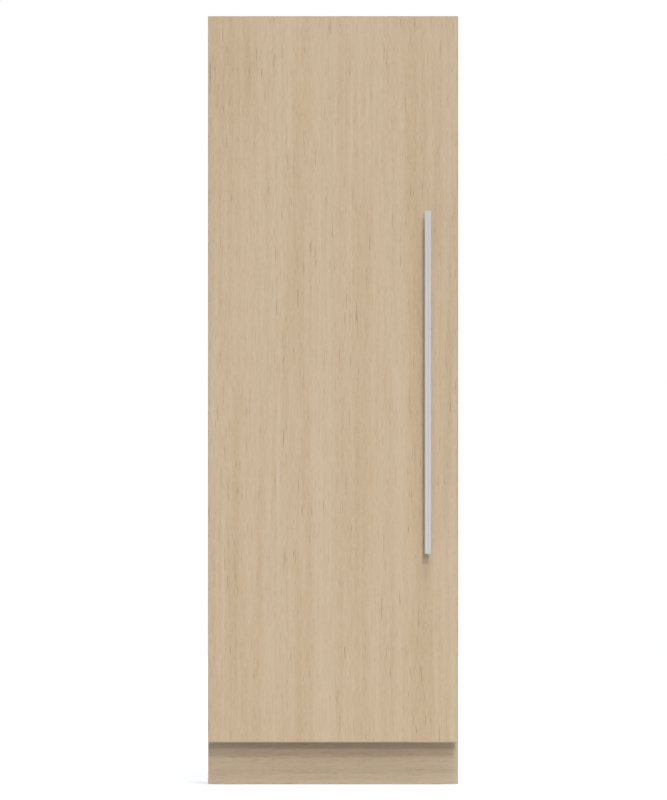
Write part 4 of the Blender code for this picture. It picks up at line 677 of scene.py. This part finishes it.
def build_hinges():
    bolt = mm((0, 0), (6.2, 0), (6.2, 0.8), (4.6, 0.9), (4.6, 3), (4.1, 3.4), (0, 3.4))
    rivet = mm((0, 0), (4.2, 0), (4, 0.7), (2.8, 1.3), (0, 1.5))
    for end, sign, axis in (("top", 1, "+Z"), ("bottom", -1, "-Z")):
        dress(GALVANISED, f"{end}_hinge_leaf", f"{end}_hinge_link", f"{end}_hinge_plate", radius=0.0004)
        low, high = corners(f"{end}_hinge_plate")
        face = high.z if sign > 0 else low.z
        bolts, rivets = Shape(), Shape()
        for x, y in ((-0.236, -0.178), (-0.205, -0.178), (-0.236, -0.15), (-0.205, -0.15)):
            bolts.lathe(bolt, (x, y, face), axis, 6)
        bolts.done(f"{end}_hinge_bolts", ZINC, angle=radians(20))
        for x, y in ((-0.278, -0.175), (-0.243, -0.251)):
            rivets.lathe(rivet, (x, y, face), axis, 20)
        rivets.done(f"{end}_hinge_rivets", ZINC)
        low, high = corners(f"{end}_hinge_leaf")
        level = low.z + 0.003 if sign > 0 else high.z - 0.003
        places = [(-0.2275, y, level) for y in (-0.2262, -0.2495)]
        Shape().screws(places, axis, 0.0034, 0.0004, 0.0002).done(f"{end}_leaf_screws", ZINC, body="door")


# Cabinet outside


def build_casing():
    dress(PAINT, "left_side_panel", "right_side_panel", "top_panel")
    dress(PAINT_FLANGE, "front_flange", radius=0.0004, segments=1)
    dress(GALVANISED, "bottom_pan")
    dress(FOAM, "cabinet_insulation")

    low, high = corners("rear_panel")
    back = high.y
    rear = Shape().loft([ring(low, high, back - depth, inset, radius) for inset, depth, radius in mm(
        (0, 1, 0.6), (0, 0.4, 0.6), (0.4, 0, 0.6), (30, 0, 4), (31.8, 0.2, 6), (33.2, 0.6, 7), (35, 0.7, 8)
    )])
    levels = mm((0, 0.95), (0, 0.75), (1.4, 0.55), (3.2, 0.1), (6, 0.05))
    for x in (-0.15, 0.15):
        for foot, top in ((0.36, 0.95), (1.05, 1.76)):
            ridge = (x - 0.05, 0, foot), (x + 0.05, 0, top)
            rear.loft([ring(*ridge, back - depth, inset, 0.02 - inset) for inset, depth in levels])
    places = [(x, back - 0.0017, z) for x in (-0.283, 0.283) for z in spread(low.z + 0.1, high.z - 0.1, 6)]
    rear.skin(1).screws(places, "+Y", 0.0045, 0.0016)
    rear.done("rear_panel_pressed", [GALVANISED, ZINC], "rear_panel")

    for side, hand, outward in SIDES:
        low, high = corners(f"{hand}_side_panel")
        edge = high.x if side > 0 else low.x
        face = edge + side * 0.0012
        trim = Shape().box((edge, low.y + 0.001, 0.145), (face, low.y + 0.021, 1.828), 0.0004)
        places = [(face, low.y + 0.011, z) for z in (0.19, 0.55, 0.95, 1.35, 1.78)]
        trim.skin(1).screws(places, outward, 0.0042, 0.0016)
        trim.done(f"{hand}_fixing_strip", [GALVANISED, ZINC])
        places = [(edge, high.y - 0.014, z) for z in (0.22, 0.6, 0.98, 1.36, 1.74)]
        Shape().screws(places, outward, 0.0036, 0.0013).done(f"{hand}_rear_seam_rivets", ZINC)

    low, high = corners("top_panel")
    section = mm((100, 0), (300, 0), (292, 16), (108, 16), start=(0, high.z))
    Shape().prism(section, "YZ", 0.07, 0.25, 0.003, 3).done("wiring_cover", BLACK)
    places = [(x, y) for x in (-0.285, -0.1, 0.1, 0.285) for y in (-0.185, 0.315)]
    places = [(x, y, high.z) for x, y in (*places[1:], (0.06, 0.112), (0.06, 0.288))]
    Shape().screws(places, "+Z", 0.0042, 0.0018).done("top_panel_screws", ZINC)

    section = mm((0, 0.4), (5.6, 0.4), (5.6, 0.24), (5, 0), (0.6, 0), (0, 0.24), start=(0, FRONT))
    Shape().rim(section, LINER_LOW, LINER_HIGH, 0.0021).done("breaker_strip", WHITE_TRIM)


# Inside the cavity


def build_liner():
    wall, front = 0.002, FRONT + 0.0013
    y, z = 0.026, 0.316
    foot, back, top = LINER_LOW.z + wall, LINER_HIGH.y - wall, LINER_HIGH.z - wall
    profile = [(front, foot), (y, foot), (y, z), (back, z), (back, top), (front, top)]
    liner = Shape().prism(profile, "YZ", LINER_LOW.x + wall, LINER_HIGH.x - wall)
    bm = liner.bm
    bmesh.ops.recalc_face_normals(bm, faces=bm.faces)
    opening = [face for face in bm.faces if all(vert.co.y < front + 0.001 for vert in face.verts)]
    bmesh.ops.delete(bm, geom=opening, context="FACES_ONLY")
    edges = [edge for edge in bm.edges if not edge.is_boundary]
    bmesh.ops.bevel(bm, geom=edges, offset=0.006, segments=4, profile=0.5, affect="EDGES", clamp_overlap=True)
    bmesh.ops.reverse_faces(bm, faces=list(bm.faces))
    made = liner.done("inner_liner_moulded", WHITE, "inner_liner", outward=False)
    given(made.modifiers.new("Wall", "SOLIDIFY"), thickness=wall, offset=-1)

    for side, hand, _ in SIDES:
        ledge = Shape().box((side * 0.236, -0.169, 1.4203), (side * 0.2459, 0.204, 1.4263), 0.0015, 3)
        ledge.done(f"{hand}_shelf_ledge", WHITE)
        lamp = Shape()
        for foot, top in ((1.19, 1.398), (1.448, 1.7)):
            lamp.box((side * 0.243, -0.183, foot), (side * 0.2458, -0.171, top), 0.001, 3)
        lamp.done(f"{hand}_lamp_strips", DIFFUSER)
    dress(WHITE, "left_side_moulding", "right_side_moulding", radius=0.0008)


def build_shelves():
    for name in ("lower_shelf", "upper_shelf"):
        low, high = corners(name)
        glass = Shape().box((low.x, low.y + 0.0093, high.z - 0.004), high, 0.0006, 3)
        glass.done(f"{name}_glass", GLASS, name)
        profile = mm((0, 0), (3, 0), start=(low.y, low.z))
        profile += mm((3, -6), (11, -6), (11, -4.2), (9, -4), (9, 0), (0, 0), start=(low.y, high.z))
        Shape().prism(profile, "YZ", low.x, high.x, 0.0005).done(f"{name}_front_trim", SATIN_LEVEL)


def build_drawers():
    wall = 0.0025
    for number in (1, 2, 3, 4):
        body = f"drawer_{number}"
        low, high = corners(f"{body}_tub")
        front_low, front_high = corners(f"{body}_front")
        half = high.x = front_high.x
        low.x = -half
        foot, top = low.z, high.z
        tub = Shape().tub(low, high, 0.01, [
            (0.002, foot, 1), (0.0004, foot + 0.001, 1), (0, foot + 0.003, 1), (0, top - 0.004, 0.03),
            (0, top - 0.0006, 0), (0.0006, top, 0), (wall - 0.0005, top, 0), (wall, top - 0.0006, 0),
            (wall, foot + wall + 0.003, 1), (wall + 0.003, foot + wall, 1),
        ])
        if number < 4:
            level = top - 0.019
            for side in (-1, 1):
                near, far = side * (half - 0.0012), side * (half + 0.0065)
                tub.box((near, low.y + 0.006, level), (far, high.y - 0.006, level + 0.004), 0.001)
        for y in spread(low.y + 0.055, high.y - 0.055, 3):
            near, far = (0.03 - half, y - 0.002), (half - 0.03, y + 0.002)
            tub.box((*near, foot + wall - 0.0002), (*far, foot + wall + 0.0016), 0.0008)
        tub.done(f"{body}_tub_moulded", CLEAR, f"{body}_tub", body)

        y, foot, top = front_low.y, front_low.z, front_high.z
        profile = mm((16, 0), (20, 0), start=(y, foot))
        profile += mm((20, 0), (0, 0), (0, -12), (4, -12), (4, -4), (16, -4), start=(y, top))
        face = Shape().prism(profile, "YZ", -half, half, 0.0012, 3)
        window_low, window_high = (0.022 - half, 0, foot + 0.02), (half - 0.022, 0, top - 0.03)
        rib = mm((0, 16.2), (0, 15), (1.2, 14.4), (2.8, 14.4), (4, 15), (4, 16.2), start=(0, y))
        if window_high[2] - window_low[2] > 0.03:
            face.rim(rib, window_low, window_high, radius=0.01, steps=5)
        face.done(f"{body}_front_moulded", CLEAR, f"{body}_front", body)
        near, far = (0.002 - half, y - 0.0006, top - 0.0122), (half - 0.002, y + 0.0004, top - 0.001)
        Shape().box(near, far, 0.0003).done(f"{body}_grip_trim", SATIN_LEVEL, body=body)


def build_air_cover():
    dress(WHITE, "evaporator_cover", radius=0.0004, segments=1)
    face = corners("evaporator_cover")[0].y
    ribs = Shape()
    levels = mm((0, -0.4, 4.8), (0, 0.5, 4.8), (1.5, 1.7, 3.4))
    for x in (-0.2, -0.165, 0.165, 0.2):
        for foot, top in ((0.36, 1.145), (1.195, 1.405), (1.45, 1.66)):
            rib = (x - 0.005, 0, foot), (x + 0.005, 0, top)
            ribs.loft([ring(*rib, face - depth, inset, radius, 5) for inset, depth, radius in levels])
    ribs.done("air_cover_ribs", WHITE)

    slats = Shape()
    border = mm((0, 0.2), (0, -1.2), (1.2, -1.8), (3, -1.8), (4.4, -1), (4.8, 0.2), start=(0, face))
    pitch = 0.018
    for base, count in ((1.5406, 3), (1.2856, 3), (0.346, 1)):
        for i in range(count):
            slat = mm((-3, -1.5), (-3, 0.2), (1.8, 6.6), (1.8, 4.6), start=(face, base + i * pitch))
            slats.prism(slat, "YZ", -0.0598, 0.0598, 0.0003, 1)
        low, high = (-0.066, 0, base - 0.006), (0.066, 0, base + (count - 1) * pitch + 0.014)
        slats.rim(border, low, high, radius=0.006, steps=4)
    slats.done("air_cover_louvres", WHITE_TRIM)

    grille = Shape()
    hub = Vector((0, face, 0.776))
    for r in (12, 22, 32, 42, 52):
        grille.lathe(mm((r - 1, 0.8), (r - 0.8, 2), (r + 0.8, 2), (r + 1, 0.8)), hub, "-Y", 48, closed=True)
    grille.lathe(mm((0, 0.6), (10, 0.6), (9.6, 2.4), (0, 2.6)), hub, "-Y")
    for angle in circle(8):
        out, side = Vector((cos(angle), 0, sin(angle))), Vector((-sin(angle), 0, cos(angle))) * 0.0009
        near, far = Vector((0, -0.0008, 0)), Vector((0, -0.0018, 0))
        section = (side + near, near - side, far - side, side + far)
        grille.loft([[hub + out * reach + corner for corner in section] for reach in (0.008, 0.0525)])
    edge = mm((52.5, -0.2), (52.5, 2.2), (59, 2.2), (61, 1.2), (61.4, -0.2))
    grille.lathe(edge, hub, "-Y", 64, closed=True)
    grille.done("air_cover_grille", WHITE_TRIM)
    caps = Shape()
    for x in (-0.225, 0.225):
        for z in (1.22, 1.46, 1.74):
            caps.lathe(mm((0, -0.2), (5.5, -0.2), (5.2, 1.2), (0, 1.8)), (x, face, z), "-Y", 24)
    caps.done("air_cover_screw_caps", WHITE_TRIM)


def build_evaporator():
    low, high = corners("evaporator_coil")
    coil = Shape()
    coil.coil(low, high, 2, 6, 0.005, 0.0038)
    coil.skin(1).fins(low, high, 0.034, 42, 0.00012)
    coil.skin(2).fins(low, high, 0.03, 2, 0.0006)
    coil.done("evaporator_coil_finned", [FIN, FIN, GALVANISED], "evaporator_coil")
    y, z = low.y + 0.012, low.z - 0.02
    Shape().tube([(low.x + 0.02, y, z), (high.x - 0.02, y, z)], 0.0045, 14).done("defrost_heater", GLASS)
    dress(GREY, "drain_tube", "evaporator_fan_frame", "condenser_fan_frame")


def fan_wheel(fan, axis):
    """A fan with swept, twisted blades and a domed hub. Its open end looks along the axis."""
    low, high = corners(fan)
    radius = (high.x - low.x if axis == "Y" else high.z - low.z) / 2
    hub, depth = 0.014, 0.016
    back, front = -depth / 2, depth / 2
    profile = [(0.0026, back), *mm((-1, 0), (0, 1), start=(hub, back))]
    profile += [*mm((0, -4), (-1.5, -1.2), (-5, 0), start=(hub, front)), (0.0026, front)]
    wheel = Shape().lathe(profile, (0, 0, 0), "Z", 40, closed=True)
    foil = (
        (-0.5, 0), (-0.25, 0.35), (0, 0.5), (0.25, 0.4), (0.5, 0), (0.25, -0.25), (0, -0.3), (-0.25, -0.3)
    )
    for root in circle(5):
        loops = []
        for t in spread(0, 1, 9):
            r = hub - 0.0015 + (radius - 0.0008 - hub + 0.0015) * t
            sweep = root + 0.3 * t * t
            pitch = radians(44 - 18 * t)
            chord = (0.018 + 0.012 * sin(pi * (0.15 + 0.7 * t))) * (radius / 0.062)
            reach, width = min(chord * sin(pitch), depth - 0.002), chord * cos(pitch)
            loop = []
            for u, v in foil:
                lift = u * reach + (0.25 - u * u) * 0.003 + v * 0.0014
                angle = sweep + u * width / r
                loop.append((r * cos(angle), r * sin(angle), max(min(lift, front), back)))
            loops.append(loop)
        wheel.loft(loops)
    made = wheel.done(f"{fan}_wheel", BLACK, fan, fan)
    turn = Matrix.Rotation(pi / 2, 4, "X" if axis == "Y" else "Y")
    made.data.transform(Matrix.Translation((low + high) / 2) @ turn)


def build_fans():
    fan_wheel("evaporator_fan", "Y")
    fan_wheel("condenser_fan", "X")
    low, high = corners("condenser_fan_frame")
    y, z = (low.y + high.y) / 2, 0.1125
    motor = Shape()
    motor.lathe(mm((0, -1), (14.5, -1), (16, 1), (16, 12.5), (15, 14), (0, 14)), (low.x, y, z), "X")
    for angle in circle(8):
        centre = (low.x + 0.007, y + 0.0155 * cos(angle), z + 0.0155 * sin(angle))
        motor.block(centre, (0.005, 0.0012, 0.0012), 0.0004, 1)
    motor.done("condenser_fan_motor_shell", BLACK)


def build_ice_maker():
    dress(GREY, "ice_maker_housing", radius=0.0012)
    dress(ICE_WHITE, "ice_tray", radius=0.0006)
    low, high = corners("ice_maker_housing")
    face = low.y - 0.016
    box = Shape()
    box.box((low.x + 0.004, face, low.z + 0.01), (high.x - 0.004, low.y + 0.0002, high.z - 0.012), 0.004, 4)
    places = [(x, face, high.z - 0.026) for x in (low.x + 0.02, high.x - 0.02)]
    box.skin(1).screws(places, "-Y", 0.0036, 0.0014)
    box.done("ice_maker_gearbox", [GREY, ZINC])
    path = mm((-4, -8, 30), (4, -8, 30), (6, 10, 12), (6, 60, -30), (6, 150, -30), start=(high.x, *low.yz))
    path += mm((6, -30, 10), (4, -20, 20), (-1, -20, 20), start=(*high.xy, low.z))
    Shape().tube(eased(path, 8), 0.0014, 8).done("ice_level_arm", ZINC)

    low, high = corners("ice_bin")
    wall, foot, top = 0.0025, low.z, high.z
    tub = Shape().tub(low, high, 0.009, [
        (0.002, foot, 1), (0, foot + 0.0025, 1), (0, top - 0.0008, 0), (0.0008, top, 0),
        (wall - 0.0008, top, 0), (wall, top - 0.0008, 0), (wall, foot + wall + 0.003, 1),
        (wall + 0.003, foot + wall, 1),
    ])
    tub.done("ice_bin_moulded", CLEAR, "ice_bin", "ice_bin")
    middle = (low.x + high.x) / 2
    pull = Shape().block((middle, low.y - 0.0003, top - 0.015), (0.034, 0.0009, 0.009), 0.0008, 3)
    pull.done("ice_bin_pull", SATIN_LEVEL, body="ice_bin")


def build_controls():
    dress(GREY, "control_panel", radius=0.001)
    low, high = corners("control_panel")
    face, z, ink = low.y - 0.0008, (low.z + high.z) / 2, 0.0001
    near, far = (low.x + 0.006, face, low.z + 0.003), (high.x - 0.006, low.y + 0.0002, high.z - 0.003)
    Shape().box(near, far, 0.0003).done("control_fascia", FASCIA)
    signs = Shape()
    for x in spread(-0.03, 0.03, 5):
        signs.lathe([(0, ink), (0.0012, ink), (0.0012, -ink), (0, -ink)], (x, face, z + 0.003), "Y", 16)
    for x, wide, tall in ((-0.062, 0.0028, 0.0004), (0.052, 0.0028, 0.0004), (0.052, 0.0004, 0.0028)):
        signs.block((x, face, z), (wide, ink, tall))
    signs.done("control_marks", MARKS)
    lamp = Shape().box((-0.06, -0.105, high.z - 0.0042), (0.085, -0.04, high.z), 0.002, 3)
    lamp.done("ceiling_lamp", DIFFUSER)
    low, high = corners("control_key")
    middle, radius = (low + high) / 2, (high.x - low.x) / 2
    dish = mm((0, 0.6), (-0.6, 0), (-2.4, 0), (-3.4, 0.5), start=(radius, low.z))
    profile = [(0, high.z), (radius, high.z), *dish, (0, low.z + 0.0007)]
    key = Shape().lathe(profile, (middle.x, middle.y, 0), "Z", 36)
    key.done("control_key_cap", SATIN_LEVEL, "control_key", "control_key")


# Base and machine compartment


def build_base():
    dress(GALVANISED, "base_tray", "toe_kick_rail", radius=0.0003, segments=1)
    pad = mm((0, 0), (18.5, 0), (20, 1.2), (20, 8.5), (18.8, 10), (11, 13.5), (7.2, 16), (0, 16))
    nut = mm((0, 30), (9.2, 30), (10, 30.6), (10, 39), (9.2, 39.6), (0, 39.6))
    for hand in ("left", "right"):
        body = f"{hand}_foot"
        low, high = corners(body)
        axis = (*((low + high) / 2).xy, 0)
        foot = Shape().lathe(pad, axis, "Z", 48)
        foot.skin(1)
        z = 0.015
        thread = [(0, z)]
        while z < high.z - 0.002:
            thread += [(0.0043, z), (0.005, z + 0.0005), (0.0043, z + 0.001)]
            z += 0.00125
        foot.lathe([*thread, (0.004, high.z - 0.0004), (0, high.z)], axis, "Z", 24)
        foot.lathe(nut, axis, "Z", 6)
        foot.done(f"{body}_threaded", [BLACK, ZINC], body, body)

        body = f"{hand}_roller"
        low, high = corners(body)
        middle, r, w = (low + high) / 2, (high.z - low.z) / 2, (high.x - low.x) / 2
        half = [(0.0048, w - 0.002), (0.0085, w), *mm((-4, -0.3), (-1, -0.6), (0, -1.6), start=(r, w))]
        half += [(r, 0.005), (r - 0.0008, 0.0042)]
        roller = Shape().lathe([(out, -x) for out, x in half] + half[::-1], middle, "X", 48, closed=True)
        for angle in circle(6):
            for x in (0.0002 - w, w - 0.0002):
                centre = middle + Vector((x, 0.0112 * cos(angle), 0.0112 * sin(angle)))
                roller.block(centre, (0.0004, 0.001, 0.001), 0.0003, 1)
        roller.done(f"{body}_tyre", BLACK, body, body)


def build_machine():
    low, high = corners("compressor")
    x, y, floor, crown = -0.105, 0.205, low.z, high.z
    plate_top = floor + 0.005
    seam = plate_top + 0.053
    radius, dome = 0.066, 0.034
    profile = [(0, plate_top - 0.001), *mm((-14, -1), (-4, 6), (0, 18), start=(radius, plate_top))]
    profile += mm((0, -1), (3.6, 0), (4, 1.5), (4, 6.5), (3.4, 8), (-0.6, 8.5), start=(radius, seam))
    for turn in spread(0, pi / 2, 9):
        profile.append((radius - dome + dome * cos(turn) - 0.0006, crown - dome + dome * sin(turn)))
    pot = Shape().lathe([*profile, (0, crown)], (x, y, 0), "Z", 64)
    plate = rounded((x - 0.084, y - 0.055), (x + 0.084, y + 0.055), 0.01, 5)
    pot.prism(plate, "XY", floor, floor + 0.0025).skin(1)
    mount = mm((0, 0), (8.5, 0), (9.5, 2), (8, 4.5), (9.5, 7), (7, 9.5), (0, 9.5))
    for dx in (-0.072, 0.072):
        for dy in (-0.042, 0.042):
            pot.lathe(mount, (x + dx, y + dy, floor), "Z", 24)
    pot.skin(2).block((x, y - 0.072, plate_top + 0.028), (0.02, 0.012, 0.02), 0.003, 3)
    pot.done("compressor_shell", [ENAMEL, RUBBER, BLACK], "compressor")

    shell, drier, roof = (x, y, plate_top), (0.06, 0.11, floor), 0.26
    discharge = mm(
        (55, 30, 80), (82, 40, 84), (95, 52, 120), (130, 66, 150), (205, 61, 152), (295, 53, 152),
        (349, 50, 151), (365, 50, 146.5), (367.5, 50, 136.5), (361.5, 50, 130.5), (350.5, 50, 130),
        start=shell
    )
    suction = mm((-52, 34, 70), (-76, 44, 76), (-92, 60, 110), (-94, 86, 160), start=shell)
    process = mm((30, -58, 30), (52, -70, 34), (70, -62, 44), (74, -60, 62), start=shell)
    liquid = mm(
        (74.5, 45, 15), (66, 42, 15), (60, 30, 15.5), (54, 14, 17.5), (38, 4.5, 22.5), (18, 0.5, 28.5),
        (4, 0, 38.5), (0, 0, 53.5), start=drier
    )
    capillary = mm((0, 0, 133), (0, 0, 146), (-4, 2, 172), (-18, 6, 196), start=drier)
    suction += [(x - 0.094, y + 0.088, roof)]
    capillary += [(0.038, 0.117, roof)]
    pipes = Shape()
    for path, bore in ((discharge, 0.0032), (suction, 0.004), (process, 0.0032), (liquid, 0.0026)):
        pipes.tube(eased(path), bore)
    bulb = mm((0, 50), (3.6, 50.5), (4, 54), (9.5, 61), (9.5, 124), (3.6, 132), (1.6, 135), (0, 135.2))
    pipes.lathe(bulb, drier, "Z", 28).tube(eased(capillary), 0.0013, 8)
    pipes.done("refrigerant_pipes", COPPER)

    low, high = corners("condenser_coil")
    coil = Shape()
    rows, pipe = 3, 0.0034
    near, far, bend = coil.coil(low, high, rows, 5, 0.004, pipe)
    half = (high.y - low.y) / rows / 2
    for end, out, z, between in ((far, 0.012, high.z - bend, 1), (near, -0.012, low.z + bend, 2)):
        middle = low.y + 2 * half * between
        coil.tube([(end + out * sin(turn), middle - half * cos(turn), z) for turn in spread(0, pi, 11)], pipe)
    coil.fins(low, high, 0.026, 26, 0.00025)
    coil.done("condenser_coil_finned", ENAMEL, "condenser_coil")

    dress(BLACK, "control_box", "mains_inlet", radius=0.0005)
    dress(BLACK, "drip_tray", radius=0.0008)
    low, high = corners("control_box")
    near = (low.x - 0.0008, low.y + 0.004, high.z - 0.012)
    lid = Shape().box(near, (high.x + 0.0008, high.y - 0.004, high.z + 0.0014), 0.002, 3)
    for i in range(6):
        rib = low.y + 0.02 + i * 0.018
        lid.box((high.x - 0.0002, rib, low.z + 0.03), (high.x + 0.0012, rib + 0.006, high.z - 0.024), 0.0006)
    lid.done("control_box_lid", BLACK)

    dress(GALVANISED, "machine_cover")
    face = corners("machine_cover")[0].y
    lips = Shape()
    for row in range(-4, 5):
        lip = mm((-3.4, -2.6), (-3.4, -3.4), (0.2, 3.8), (0.2, 4.8), start=(face, 0.15 + row * 0.014))
        for centre in (0.018, 0.11, 0.202):
            lips.prism(lip, "YZ", centre - 0.035, centre + 0.035, 0.0002, 1)
    lips.done("machine_cover_louvres", GALVANISED)


def build_stage():
    """A white floor, soft lamps and the camera far in front, as for a catalogue picture."""
    floor = bpy.data.meshes.new("floor")
    floor.from_pydata([(-30, -30, 0), (30, -30, 0), (30, 30, 0), (-30, 30, 0)], [], [(0, 1, 2, 3)])
    ground = linked("floor", floor)
    ground.location.z = -0.0004
    look = Look("studio_floor", (0.8, 0.8, 0.8), 0.75)
    look.set("Base Color", look.blend(look.noise(3, 3), (0.79, 0.79, 0.79), (0.81, 0.81, 0.81)))
    rays = look.node("LightPath").outputs
    through = look.math("MAXIMUM", rays["Is Glossy Ray"], rays["Is Transmission Ray"])
    seen = look.math("MULTIPLY", rays["Is Camera Ray"], 0.5)
    look.set("Emission Color", (1, 1, 1, 1))
    look.set("Emission Strength", look.math("MAXIMUM", seen, look.math("MULTIPLY", through, 0.4)))
    floor.materials.append(look.material)

    world = bpy.data.worlds.new("studio")
    bpy.context.scene.world = world
    world.use_nodes = True
    world.node_tree.nodes.clear()
    sky = Nodes(world.node_tree)
    rays = sky.node("LightPath").outputs
    fill = sky.node("Background", {"Color": (0.935, 1, 1.085, 1), "Strength": 0.29})
    white = sky.node("Background", {"Color": (1, 1, 1, 1), "Strength": 1})
    seen = sky.math("MAXIMUM", rays["Is Camera Ray"], rays["Is Glossy Ray"])
    seen = sky.math("MAXIMUM", seen, rays["Is Transmission Ray"])
    mix = sky.node("MixShader", {0: seen, 1: fill.outputs[0], 2: white.outputs[0]})
    sky.node("OutputWorld", {"Surface": mix.outputs[0]})

    for name, azimuth, elevation, spread_angle, strength, glossy in (
        ("key", 6.5, 13, 4.5, 0.173, False), ("middle_key", 7.5, 26, 6, 0.23, False),
        ("high_key", 8.5, 52, 16, 0.269, False), ("left_soft", -80, 25, 50, 0.07, True),
        ("back_soft", 150, 40, 50, 0.17, True),
    ):
        lamp = given(bpy.data.lights.new(name, "SUN"), angle=radians(spread_angle), energy=strength * pi)
        a, e = radians(azimuth), radians(elevation)
        back = Vector((sin(a) * cos(e), -cos(a) * cos(e), sin(e)))
        given(
            linked(name, lamp), location=back * 5, rotation_mode="QUATERNION",
            rotation_quaternion=(-back).to_track_quat("-Z", "Y"), visible_glossy=glossy
        )

    # Where the photo has the door's sides, its top and the toe kick's foot, in pixels
    width, height = 667, 800
    left, right, top, foot = 208.1, 458.1, 16.17, 784
    distance, middle = 60, height / 2
    kick = corners("toe_kick_panel")[0]
    recess = 1 + (kick.y - PANEL_LOW.y) / distance
    scale = (PANEL_HIGH.z - kick.z) / ((foot - middle) * recess + middle - top)
    sensor = 36
    lens = sensor * distance / (height * scale)
    view = given(bpy.data.cameras.new("camera"), sensor_width=sensor, lens=lens, clip_start=1, clip_end=200)
    x, z = (width / 2 - (left + right) / 2) * scale, kick.z + (foot - middle) * recess * scale
    place = (x, PANEL_LOW.y - distance, z)
    camera = given(linked("camera", view), location=place, rotation_euler=(pi / 2, 0, 0))
    bpy.context.scene.camera = camera


build_front()
build_door()
build_hinges()
build_casing()
build_liner()
build_shelves()
build_drawers()
build_air_cover()
build_evaporator()
build_fans()
build_ice_maker()
build_controls()
build_base()
build_machine()
build_stage()

settings = bpy.context.scene.view_settings
settings.view_transform = "Standard"
